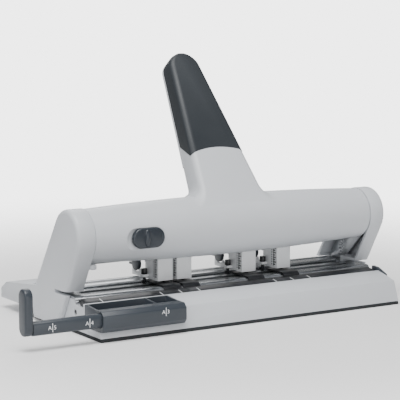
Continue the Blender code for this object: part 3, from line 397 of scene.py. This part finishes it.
# %% [markdown]
# ## The lever: tube and handle in one casting
# The tube is a barrel: thickest in the middle. A profile line, closed into a thin wall, is spun
# round the tube's axis. The handle leans back and tapers; it is drawn as a ring that is extruded
# station by station. Near the tube the rings spread with a quarter-round flare, which gives the
# smooth moulded fillet where the handle grows out of the tube.

# %% Lever sizes
AXIS = Vector((0, -13 * MM, 89.5 * MM))
TUBE_HALF = 160.2 * MM
TUBE_END, TUBE_MIDDLE, TUBE_WALL = 25.2 * MM, 29.6 * MM, 2.5 * MM
LEAN = math.radians(36.2)
# The handle's front face lies this far before the axis, and its stations start this far up.
FRONT_OFFSET, ROOT_ALONG = 28.7 * MM, 16.8 * MM
HANDLE_LENGTH, TIP_RADIUS = 168.5 * MM, 15 * MM
# Half the width at the root, and how much of it is lost per unit of length.
ROOT_HALF, TAPER = 36.2 * MM, 0.120
ROOT_DEPTH, TIP_DEPTH = 25.7 * MM, 20.5 * MM
PAD_START = 47 * MM
RIM_DEPTH = 3 * MM
FLARE = 9 * MM


def tube_radius(x):
    """Radius of the barrel at a distance from its middle."""
    return TUBE_END + (TUBE_MIDDLE - TUBE_END) * (1 - (x / TUBE_HALF) ** 2)


def half_width(station):
    """Half the handle's width, rounded off at the tip."""
    past = max(station - (HANDLE_LENGTH - TIP_RADIUS), 0)
    rounding = TIP_RADIUS - math.sqrt(max(TIP_RADIUS ** 2 - past ** 2, 0))
    return ROOT_HALF - TAPER * station - rounding


def depth_at(station):
    """Thickness of the handle, front to back."""
    return ROOT_DEPTH + (TIP_DEPTH - ROOT_DEPTH) * max(station, 0) / HANDLE_LENGTH


def handle_place(across, depth, station):
    """From the handle's own frame to the world."""
    behind, along = depth - FRONT_OFFSET, station + ROOT_ALONG
    return AXIS + Vector((across, behind * math.cos(LEAN) + along * math.sin(LEAN),
                          along * math.cos(LEAN) - behind * math.sin(LEAN)))


def flared(place):
    """Spread a point sideways where it comes close to the tube."""
    reach = math.hypot(place.y - AXIS.y, place.z - AXIS.z) - tube_radius(place.x)
    near = min(max((FLARE - reach) / FLARE, 0), 1)
    side = 1 if place.x > 0 else -1
    return place + Vector((side * FLARE * (1 - math.sqrt(1 - near ** 2)), 0, 0))


print("handle tip at mm:", [round(value / MM) for value in handle_place(0, 0, HANDLE_LENGTH)])

# %% [markdown]
# ## Sections of the handle
# A section of the handle is a rounded oblong. The front corners have a big radius, the back ones
# a small one. Each quarter round takes the same number of points, so all rings can be extruded
# from one another.

# %% Handle sections
QUARTER = 6
# The largest share of the half width and of the thickness that a corner may take.
FRONT_SHARE, FRONT_DEPTH_SHARE = 0.7, 0.8
BACK_SHARE, BACK_DEPTH_SHARE = 0.5, 0.19


def section(station, inset, near, far, front_corner, back_corner):
    """Points round the handle at one station; near and far are depths behind the front face."""
    half = half_width(station) - inset
    front_round = min(front_corner, half * FRONT_SHARE, (far - near) * FRONT_DEPTH_SHARE)
    back_round = min(back_corner, half * BACK_SHARE, (far - near) * BACK_DEPTH_SHARE)
    corners = (
        (-1, near + front_round, front_round, math.pi),
        (1, near + front_round, front_round, 1.5 * math.pi),
        (1, far - back_round, back_round, 0),
        (-1, far - back_round, back_round, 0.5 * math.pi),
    )
    points = []
    for side, middle, radius, start in corners:
        for step in range(QUARTER + 1):
            angle = start + math.pi / 2 * step / QUARTER
            across = side * (half - radius) + radius * math.cos(angle)
            points.append(handle_place(across, middle + radius * math.sin(angle), station))
    return points


def skin(rings):
    """A closed solid through rings of points, extruded one from the other."""
    bm = bmesh.new()
    loop = list(bmesh.ops.create_circle(bm, segments=len(rings[0]), radius=1.0)["verts"])
    for vertex, place in zip(loop, rings[0]):
        vertex.co = place
    for ring in rings[1:]:
        members = set(loop)
        edges = [e for e in bm.edges if e.verts[0] in members and e.verts[1] in members]
        made = bmesh.ops.extrude_edge_only(bm, edges=edges)["geom"]
        fresh = {v for v in made if isinstance(v, bmesh.types.BMVert)}
        loop = [next(e.other_vert(v) for e in v.link_edges if e.other_vert(v) in fresh) for v in loop]
        for vertex, place in zip(loop, ring):
            vertex.co = place
    bmesh.ops.holes_fill(bm, edges=[e for e in bm.edges if e.is_boundary], sides=len(rings[0]) + 1)
    bmesh.ops.recalc_face_normals(bm, faces=bm.faces)
    print("rings joined:", len(rings))
    return bm


# %% [markdown]
# ## The handle's tip
# The tip is rounded twice: in front view by the shrinking width, and in side view by letting the
# front face dive back over the last few millimetres.

# %% Stations along the handle
TIP_DIVE = 3 * MM
STRAIGHT_STEPS, TIP_STEPS = 12, 10


def tip_dive(station):
    """How far the front face has dived back at a station near the tip."""
    past = max(station - (HANDLE_LENGTH - TIP_DIVE), 0)
    return TIP_DIVE - math.sqrt(max(TIP_DIVE ** 2 - past ** 2, 0))


def stations(first):
    """Stations from first to the tip, crowded round the tip."""
    straight = HANDLE_LENGTH - TIP_RADIUS
    plain = [first + (straight - first) * step / STRAIGHT_STEPS for step in range(STRAIGHT_STEPS + 1)]
    bend = [math.pi / 2 * step / TIP_STEPS for step in range(1, TIP_STEPS + 1)]
    return plain + [straight + TIP_RADIUS * math.sin(angle) for angle in bend]


print("stations from the pad to the tip:", len(stations(PAD_START)))

# %% [markdown]
# ## Handle casing
# Below the pad the casing is as thick as the whole handle. Higher up it shrinks by half a
# millimetre, over a short slope, so that it stays hidden under the pad and the rim.

# %% Handle casing
UNDER = 0.5 * MM
SLOPE_START, SLOPE_LENGTH = 26 * MM, 6 * MM
FRONT_CORNER, BACK_CORNER = 6 * MM, 2 * MM
# The root starts inside the tube and takes close steps through the flare.
ROOT_START, ROOT_STEP, ROOT_STEPS = -12, 1.5, 24
STEM_START = 26 * MM


def core_inset(station):
    """How far the casing lies under the pad at a station."""
    return UNDER * min(max((station - PAD_START - SLOPE_START) / SLOPE_LENGTH, 0), 1)


root_stations = [(ROOT_START + ROOT_STEP * step) * MM for step in range(ROOT_STEPS)]
tube_rings = []
for station in root_stations + stations(STEM_START)[:-1]:
    inset = core_inset(station)
    ring = section(station, inset, inset + tip_dive(station), depth_at(station) - inset,
                   FRONT_CORNER, BACK_CORNER)
    tube_rings.append([flared(place) for place in ring])
handle_solid = skin(tube_rings)

# %% [markdown]
# ## Tube
# One line along the tube is given the barrel's radius, with a small step at either end where the
# tube meets the cheek. A copy of the line, one wall lower, is the inside. Both are closed at the
# ends and spun round the tube's axis.

# %% Tube
SEAM = 0.9 * MM
SMALL_STEP = 0.001 * MM
PROFILE_CUTS, SPIN_STEPS = 31, 120
tube = bmesh.new()
start = tube.verts.new((-TUBE_HALF + SEAM, 0, 0))
reach = bmesh.ops.extrude_vert_indiv(tube, verts=[start])["verts"]
reach[0].co.x = TUBE_HALF - SEAM
bmesh.ops.subdivide_edges(tube, edges=tube.edges, cuts=PROFILE_CUTS)
for end in [v for v in tube.verts if len(v.link_edges) == 1]:
    rim = bmesh.ops.extrude_vert_indiv(tube, verts=[end])["verts"]
    rim[0].co.x = math.copysign(TUBE_HALF, end.co.x)
for vertex in tube.verts:
    vertex.co.z = tube_radius(vertex.co.x)
    if TUBE_HALF - abs(vertex.co.x) < SEAM / 2:
        vertex.co.z -= SEAM
inner = bmesh.ops.duplicate(tube, geom=list(tube.verts) + list(tube.edges))["geom"]
for vertex in [v for v in inner if isinstance(v, bmesh.types.BMVert)]:
    vertex.co.z -= TUBE_WALL
for end in (-TUBE_HALF, TUBE_HALF):
    pair = [v for v in tube.verts if abs(v.co.x - end) < SMALL_STEP]
    tube.edges.new(pair)
bmesh.ops.spin(tube, geom=list(tube.verts) + list(tube.edges), axis=(1, 0, 0), cent=(0, 0, 0),
               angle=2 * math.pi, steps=SPIN_STEPS, use_merge=True)
bmesh.ops.translate(tube, verts=tube.verts, vec=AXIS)
bmesh.ops.recalc_face_normals(tube, faces=tube.faces)
print("tube faces:", len(tube.faces), "handle faces:", len(handle_solid.faces))

# %% [markdown]
# ## An oval plug
# The lock slider and its pocket are ovals with straight sides. A circle is stretched apart at its
# middle and extruded along Y.

# %% Oval plug
LOCK_X, LOCK_LENGTH, LOCK_WIDTH = -105.6 * MM, 34 * MM, 19 * MM
LOCK_Z = AXIS.z - 2.6 * MM
POCKET_FLOOR = AXIS.y - 24.6 * MM
LOCK_TRAVEL = 5 * MM
ON_MIDDLE = 0.01 * MM


def capsule(centre_x, length, width, y_front, y_back, segments=20):
    """An oval plug along Y, made from a circle that is stretched and extruded."""
    bm = bmesh.new()
    radius = width / 2
    turn = Matrix.Rotation(math.pi / 2, 4, "X")
    bmesh.ops.create_circle(bm, cap_ends=True, segments=4 * segments, radius=radius, matrix=turn)
    for vertex in bm.verts:
        if abs(vertex.co.x) > ON_MIDDLE:
            vertex.co.x += math.copysign(length / 2 - radius, vertex.co.x)
    bmesh.ops.translate(bm, verts=bm.verts, vec=(centre_x, y_front, LOCK_Z))
    made = bmesh.ops.extrude_face_region(bm, geom=list(bm.faces))["geom"]
    moved = [v for v in made if isinstance(v, bmesh.types.BMVert)]
    bmesh.ops.translate(bm, verts=moved, vec=(0, y_back - y_front, 0))
    bmesh.ops.recalc_face_normals(bm, faces=bm.faces)
    print("oval of", len(bm.faces), "faces")
    return bm


# %% [markdown]
# ## The casing put together
# The tube and the handle become one solid. The lock slider sits in an oval pocket in the tube's
# front: a little longer than the slider to let it move, with a backing inside for its floor.

# %% Casing with the lock's pocket
POCKET_PLAY = 0.8 * MM
BACKING_MARGIN, BACKING_OVERLAP, BACKING_THICKNESS = 3 * MM, 0.2 * MM, 2 * MM
BEFORE_TUBE = AXIS.y - 40 * MM

lever = combined(tube, handle_solid, "UNION")
pocket_x, pocket_length = LOCK_X - LOCK_TRAVEL / 2, LOCK_LENGTH + LOCK_TRAVEL + POCKET_PLAY
backing = capsule(pocket_x, pocket_length + BACKING_MARGIN, LOCK_WIDTH + BACKING_MARGIN,
                  POCKET_FLOOR - BACKING_OVERLAP, POCKET_FLOOR + BACKING_THICKNESS)
lever = combined(lever, backing, "UNION")
pocket = capsule(pocket_x, pocket_length, LOCK_WIDTH + POCKET_PLAY, BEFORE_TUBE, POCKET_FLOOR)
lever = combined(lever, pocket, "DIFFERENCE")
make_piece("lever_casing", lever, "lever", casing_abs, ("lever_cover",), ROUND_ANGLE)

# %% [markdown]
# ## Grip pad
# The pad is a soft shell over the handle's front and sides. Its lower edge is a shallow arch, so
# a wide cylinder trims the plain shell, and a turned block trims the edge on the sides.

# %% Grip pad
ARCH_RADIUS, ARCH_RISE, ARCH_LENGTH = 86 * MM, 7.5 * MM, 90 * MM
SIDE_CUT_DEPTH, SIDE_CUT_RISE = 4 * MM, 0.5 * MM
SIDE_CUT_SLOPE = math.radians(52)
CUT_REACH = 60 * MM
# How far the pad stands proud of the casing, and its gap to the rim.
PROUD, RIM_GAP = 0.3 * MM, 0.2 * MM
PAD_SPARE, PAD_BACK_CORNER, PAD_EDGE = 6 * MM, 0.8 * MM, 0.5 * MM

pad_rings = []
for station in stations(PAD_START - PAD_SPARE):
    far = depth_at(station) - RIM_DEPTH - RIM_GAP
    pad_rings.append(section(station, -PROUD, -PROUD + tip_dive(station), far, FRONT_CORNER,
                             PAD_BACK_CORNER))
pad = skin(pad_rings)
across_pad = handle_place(0, 1, 0) - handle_place(0, 0, 0)
arch_centre = handle_place(0, 0, PAD_START + ARCH_RISE - ARCH_RADIUS)
pad = combined(pad, rod(arch_centre, across_pad, ARCH_RADIUS, ARCH_LENGTH, 160), "DIFFERENCE")
side_cut = slabs([((-CUT_REACH, 0, -CUT_REACH), (CUT_REACH, CUT_REACH, 0))])
cut_corner = handle_place(0, SIDE_CUT_DEPTH, PAD_START + SIDE_CUT_RISE)
cut_turn = Matrix.Rotation(-LEAN + SIDE_CUT_SLOPE, 4, "X")
bmesh.ops.transform(side_cut, matrix=Matrix.Translation(cut_corner) @ cut_turn, verts=side_cut.verts)
pad = combined(pad, side_cut, "DIFFERENCE")
bmesh.ops.dissolve_limit(pad, angle_limit=math.radians(0.3), verts=pad.verts, edges=pad.edges)
pad = bevel_corners(pad, PAD_EDGE, 2, math.radians(40))
make_piece("grip_pad", pad, "lever", grip_rubber, ("handle_pad",), ROUND_ANGLE)

# %% [markdown]
# ## Rim of the handle
# A thin light strip closes the handle's back. It has the same sections, from the pad's back to
# the handle's.

# %% Handle rim
RIM_PROUD, RIM_FRONT_CORNER, RIM_BACK_CORNER = 0.1 * MM, 0.3 * MM, 1.5 * MM
rim_rings = []
for station in stations(PAD_START - 1 * MM):
    far = depth_at(station)
    rim_rings.append(section(station, -RIM_PROUD, far - RIM_DEPTH, far, RIM_FRONT_CORNER,
                             RIM_BACK_CORNER))
rim = skin(rim_rings)
make_piece("handle_rim", rim, "lever", casing_abs, ("handle_back",), ROUND_ANGLE)

# %% [markdown]
# ## Lock slider
# A dark oval button with a finger ridge across it. The button's rim has a broad radius, and the
# ridge is a half-buried ellipsoid so that it swells out of the face.

# %% Lock slider
BUTTON_SET_BACK, BUTTON_LIFT, BUTTON_EDGE = 2.2 * MM, 0.3 * MM, 1.2 * MM
RIDGE_SHIFT, RIDGE_SET_BACK = 2.0 * MM, 3.0 * MM
RIDGE_HALF = (3.4 * MM, 3.1 * MM, 8.6 * MM)

lock_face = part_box("lock_slider")[0].y
button = capsule(LOCK_X, LOCK_LENGTH, LOCK_WIDTH, lock_face + BUTTON_SET_BACK,
                 POCKET_FLOOR - BUTTON_LIFT)
button = bevel_corners(button, BUTTON_EDGE, 4, math.radians(60))
ridge = bmesh.new()
bmesh.ops.create_uvsphere(ridge, u_segments=32, v_segments=20, radius=1.0)
ridge_place = Matrix.Translation((LOCK_X - RIDGE_SHIFT, lock_face + RIDGE_SET_BACK, LOCK_Z))
ridge_place = ridge_place @ Matrix.Diagonal((*RIDGE_HALF, 1.0))
bmesh.ops.transform(ridge, matrix=ridge_place, verts=ridge.verts)
button = combined(button, ridge, "UNION")
make_piece("lock_button", button, "lock", polished_slate, ("lock_slider",), ROUND_ANGLE)

# %% [markdown]
# ## Shaft, hubs, cams, press bar and yokes
# These carry the force. They are stamped or turned steel, except for the hubs and the rollers,
# which are slate plastic.

# %% Press parts
soften("pivot_shaft", "lever", stamped_steel, TURNED_EDGE)
soften("press_bar", "press", stamped_steel, MOULDED_EDGE)
for side in ("left", "right"):
    soften(side + "_hub", "lever", slate_abs, MOULDED_EDGE)
    soften(side + "_press_cam", "lever", stamped_steel, STAMPED_EDGE)
    soften(side + "_yoke", "press", stamped_steel, STAMPED_EDGE)
    soften(side + "_cam_follower", "press", slate_abs, MOULDED_EDGE)

# %% [markdown]
# ## The ladder of marks
# A printed ladder on each unit's left face helps to read its place on the rail: a spine, rungs of
# two lengths, and a row of short dashes behind it. Ink is a layer a tenth of a millimetre thick,
# half of it below the surface, so that the two faces don't flicker.

# %% Ladder of marks
INK = 0.05 * MM
RUNGS, RUNG_START, RUNG_STEP, RUNG_HEIGHT = 9, 3, 2.4, 1.3 * MM
LONG_RUNG, SHORT_RUNG = 1.4, 2.8
SPINE_FRONT, SPINE_BACK, SPINE_FOOT, SPINE_TOP = 5.6 * MM, 6.6 * MM, 2 * MM, 24 * MM
DASH_FRONT, DASH_BACK = 8.2 * MM, 9.6 * MM


def ladder(left, low):
    """The boxes of the marks on a unit, from its left face and its lowest corner."""
    inside, outside = left + INK, left - INK
    marks = []
    for step in range(RUNGS):
        foot = low.z + (RUNG_START + RUNG_STEP * step) * MM
        front = low.y + (LONG_RUNG if step % 2 else SHORT_RUNG) * MM
        top = foot + RUNG_HEIGHT
        marks.append(((outside, front, foot), (inside, low.y + SPINE_FRONT, top)))
        marks.append(((outside, low.y + DASH_FRONT, foot), (inside, low.y + DASH_BACK, top)))
    marks.append(((outside, low.y + SPINE_FRONT, low.z + SPINE_FOOT),
                  (inside, low.y + SPINE_BACK, low.z + SPINE_TOP)))
    return marks


print("height of the ladder in mm:", round((SPINE_TOP - SPINE_FOOT) / MM, 1))

# %% [markdown]
# ## Punch units
# Each unit is an off-white block that straddles the arm of its punch. It stands on a black die
# foot, and on its left side it has a release lever and an index knob.

# %% Units
FOOT_OVERHANG = 1.25 * MM
for number in range(1, 5):
    unit, tag = "unit_%d" % number, "_%d" % number
    soften("unit_body" + tag, unit, block_abs, BLOCK_EDGE)
    soften("die_foot" + tag, unit, black_acetal, THIN_EDGE)
    soften("punch_pin" + tag, "punch" + tag, stamped_steel, STAMPED_EDGE)
    soften("release_lever" + tag, "release" + tag, slate_abs, TURNED_EDGE)
    soften("index_plunger" + tag, "plunger" + tag, black_acetal, TURNED_EDGE)
    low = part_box("unit_body" + tag)[0]
    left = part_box("die_foot" + tag)[0].x + FOOT_OVERHANG
    make_piece("unit_scale" + tag, slabs(ladder(left, low)), unit, black_ink)

# %% [markdown]
# ## Guide housing
# The slate housing is a shallow tray with two compartments. Along its front runs the sleeve of
# the guide bar, so the edges of the front ridge and of the right end get a wide round before the
# rest gets a fine one.

# %% Guide housing
LONG_EDGE, RIDGE_RUN, RIDGE_HEIGHT = 40 * MM, 5 * MM, 12 * MM
END_GAP, END_RUN = 0.1 * MM, 9 * MM
SLEEVE_EDGE = 2.2 * MM


def rounded_sleeve(edge):
    """True for the edges of the front ridge and of the right end."""
    first, second = edge.verts[0].co, edge.verts[1].co
    along_x = abs(first.x - second.x) > LONG_EDGE
    front = max(first.y, second.y)
    ridge_edge = front < tray_low.y + RIDGE_RUN and min(first.z, second.z) > tray_low.z + RIDGE_HEIGHT
    end_edge = min(first.x, second.x) > tray_high.x - END_GAP and front < tray_low.y + END_RUN
    return (along_x and ridge_edge) or end_edge


tray_low, tray_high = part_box("guide_housing")
housing = merged_copy("guide_housing")
sleeve = [edge for edge in housing.edges if rounded_sleeve(edge)]
print("edges of the sleeve:", len(sleeve))
bmesh.ops.bevel(housing, geom=sleeve, offset=SLEEVE_EDGE, offset_type="OFFSET", segments=5,
                profile=0.5, affect="EDGES", material=-1, clamp_overlap=True)
housing = bevel_corners(housing, MOULDED_EDGE)
make_piece("guide_tray", housing, "base", slate_abs, ("guide_housing",))

# %% [markdown]
# ## Guide bar, paddle and drawer
# The bar slides in the housing, and its paddle stops the edge of the paper. The drawer under the
# base catches the chips.

# %% Guide bar, paddle and drawer
PADDLE_EDGE = 2.0 * MM
soften("guide_bar", "paper_guide", slate_abs, THIN_EDGE)
soften("guide_paddle", "paper_guide", slate_abs, PADDLE_EDGE, 4)
soften("chip_drawer", "drawer", slate_abs, THIN_EDGE)
soften("drawer_grip", "drawer", slate_abs, MOULDED_EDGE)

# %% [markdown]
# ## Ticks on the strip
# White ticks on the strip show where the units go for common hole patterns. They are laid out
# flat and then tilted with the strip, which rises a little towards the back.

# %% Ticks on the strip
# Places along the tube, in millimetres.
TICKS = (-151, -86, -65, -44.5, 45.5, 66, 87)
TICK_HALF, TICK_FRONT, TICK_BACK = 0.4 * MM, 1.0 * MM, 8.5 * MM
STRIP_FRONT_HEIGHT = 29.8 * MM

strip_low, strip_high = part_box("ruler_strip")
printed = slabs([((place * MM - TICK_HALF, TICK_FRONT, -INK), (place * MM + TICK_HALF, TICK_BACK, INK))
                 for place in TICKS])
slope = math.atan2(strip_high.z - STRIP_FRONT_HEIGHT, strip_high.y - strip_low.y)
lay = Matrix.Translation((0, strip_low.y, STRIP_FRONT_HEIGHT)) @ Matrix.Rotation(slope, 4, "X")
bmesh.ops.transform(printed, matrix=lay, verts=printed.verts)
make_piece("strip_ticks", printed, "base", white_ink)

# %% [markdown]
# ## Paper sizes
# The marks on the guide are plain format names, each split by a tick at the reading edge. The
# characters are text curves that become meshes before they are placed.

# %% Paper format marks
LETTER_HEIGHT, LETTER_DROP = 5.2 * MM, -1.8 * MM
LETTER_SHIFT, DIGIT_SHIFT = -4.4 * MM, 1.1 * MM
READING_TICK = ((-0.3 * MM, -4.0 * MM, -INK), (0.3 * MM, 4.0 * MM, INK))


def format_mark(name, digit, place, body):
    """The letter and the digit of a paper size on either side of a tick, facing the user."""
    bm = slabs([READING_TICK])
    for text, shift in (("A", LETTER_SHIFT), (digit, DIGIT_SHIFT)):
        curve = bpy.data.curves.new(name + text, "FONT")
        curve.body = text
        curve.size = LETTER_HEIGHT
        curve.extrude = INK
        letter = bpy.data.objects.new(name + text, curve)
        bpy.context.scene.collection.objects.link(letter)
        bpy.context.view_layer.update()
        evaluated = letter.evaluated_get(bpy.context.evaluated_depsgraph_get())
        mesh = bpy.data.meshes.new_from_object(evaluated)
        mesh.transform(Matrix.Translation((shift, LETTER_DROP, 0)))
        bm.from_mesh(mesh)
        bpy.data.objects.remove(letter)
    bmesh.ops.remove_doubles(bm, verts=bm.verts, dist=BEVEL_GAP)
    upright = Matrix.Translation(place) @ Matrix.Rotation(math.pi / 2, 4, "X")
    bmesh.ops.transform(bm, matrix=upright, verts=bm.verts)
    make_piece(name, bm, body, white_ink)


bar_low, bar_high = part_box("guide_bar")
bar_middle = (bar_low.z + bar_high.z) / 2
tray_mark_height = tray_high.z - 7.5 * MM
format_mark("format_mark_0", "5", (-222 * MM, bar_low.y, bar_middle), "paper_guide")
format_mark("format_mark_1", "4", (-185 * MM, bar_low.y, bar_middle), "paper_guide")
format_mark("format_mark_2", "3", (-107 * MM, tray_low.y, tray_mark_height), "base")

# %% [markdown]
# ## Floor
# The tool stands on a plain pale floor. The floor's paint thins out with distance from the tool,
# so that it melts into the bright surroundings and no horizon line shows.

# %% Floor
FLOOR_SOLID, FLOOR_END, FLOOR_HALF = 0.22, 1.0, 6.0
floor_mesh = bmesh.new()
bmesh.ops.create_grid(floor_mesh, x_segments=1, y_segments=1, size=FLOOR_HALF)
floor_data = bpy.data.meshes.new("studio_floor")
floor_mesh.to_mesh(floor_data)
floor_mesh.free()
floor_paint, floor_tree, floor_shader = blank_material("matt studio paint", "#EDEDED", 0.9)
spot = add_node(floor_tree, "ShaderNodeTexCoord", {}, {}).outputs["Object"]
away = add_node(floor_tree, "ShaderNodeVectorMath", {"operation": "LENGTH"}, {"Vector": spot})
fade = add_node(floor_tree, "ShaderNodeMapRange", {
    "interpolation_type": "SMOOTHSTEP", "From Min": FLOOR_SOLID, "From Max": FLOOR_END,
    "To Min": 1.0, "To Max": 0.0}, {"Value": away.outputs["Value"]})
floor_tree.links.new(fade.outputs["Result"], floor_shader.inputs["Alpha"])
floor_data.materials.append(floor_paint)
floor = bpy.data.objects.new("studio_floor", floor_data)
bpy.context.scene.collection.objects.link(floor)
print("floor is solid to", FLOOR_SOLID, "m and gone at", FLOOR_END, "m")

# %% [markdown]
# ## Light
# Soft studio light: a large key lamp above, weaker lamps from the left and from the front, and
# one behind that draws the edges. The surroundings glow evenly; what is seen of them directly is
# brighter than the light they cast, as with a white backdrop that is lit on its own.

# %% Lamps
def soft_lamp(name, power, size, place, target):
    """A square area lamp that looks at a point."""
    lamp = bpy.data.lights.new(name, "AREA")
    lamp.energy = power
    lamp.size = size
    thing = bpy.data.objects.new(name, lamp)
    thing.location = place
    thing.rotation_euler = (Vector(target) - Vector(place)).to_track_quat("-Z", "Y").to_euler()
    bpy.context.scene.collection.objects.link(thing)
    print(name, power, "W from", place)


# Watts, side in metres, place and aim.
soft_lamp("key_lamp", 62, 1.4, (-0.5, -0.5, 2.0), (0, 0, 0.08))
soft_lamp("fill_lamp", 11, 1.2, (-1.9, -0.7, 1.0), (0, 0, 0.08))
soft_lamp("front_lamp", 9, 0.9, (-0.2, -2.0, 0.25), (0, 0, 0.06))
soft_lamp("rim_lamp", 14, 1.2, (0.5, 1.6, 1.3), (0, 0, 0.08))

# %% Surroundings
ROOM_GLOW, BACKDROP_GLOW = 0.34, 4.2
world = bpy.data.worlds.new("studio_surround")
world.use_nodes = True
world_tree = world.node_tree
seen = add_node(world_tree, "ShaderNodeLightPath", {}, {})
brightness = add_node(world_tree, "ShaderNodeMapRange", {
    "To Min": ROOM_GLOW, "To Max": BACKDROP_GLOW}, {"Value": seen.outputs["Is Camera Ray"]})
backdrop = world_tree.nodes["Background"]
backdrop.inputs["Color"].default_value = linear("#FFFFFF")
world_tree.links.new(brightness.outputs["Result"], backdrop.inputs["Strength"])
bpy.context.scene.world = world
print("surroundings cast", ROOM_GLOW, "and show", BACKDROP_GLOW)

# %% [markdown]
# ## Camera
# A long lens from a metre and a half away, a little above the tool and to its left, flattens the
# perspective, so that the tube and the base stay nearly parallel.

# %% Camera
CAMERA_PITCH, CAMERA_TURN = math.radians(90 - 7.09), math.radians(-32.09)
camera_data = bpy.data.cameras.new("studio_camera")
camera_data.lens = 133.9
camera_data.sensor_width = 36.0
camera_data.clip_start = 0.05
camera = bpy.data.objects.new("studio_camera", camera_data)
camera.location = (-0.7953, -1.2311, 0.2937)
camera.rotation_euler = (CAMERA_PITCH, 0, CAMERA_TURN)
bpy.context.scene.collection.objects.link(camera)
bpy.context.scene.camera = camera
print("camera distance in m:", round(camera.location.length, 2))
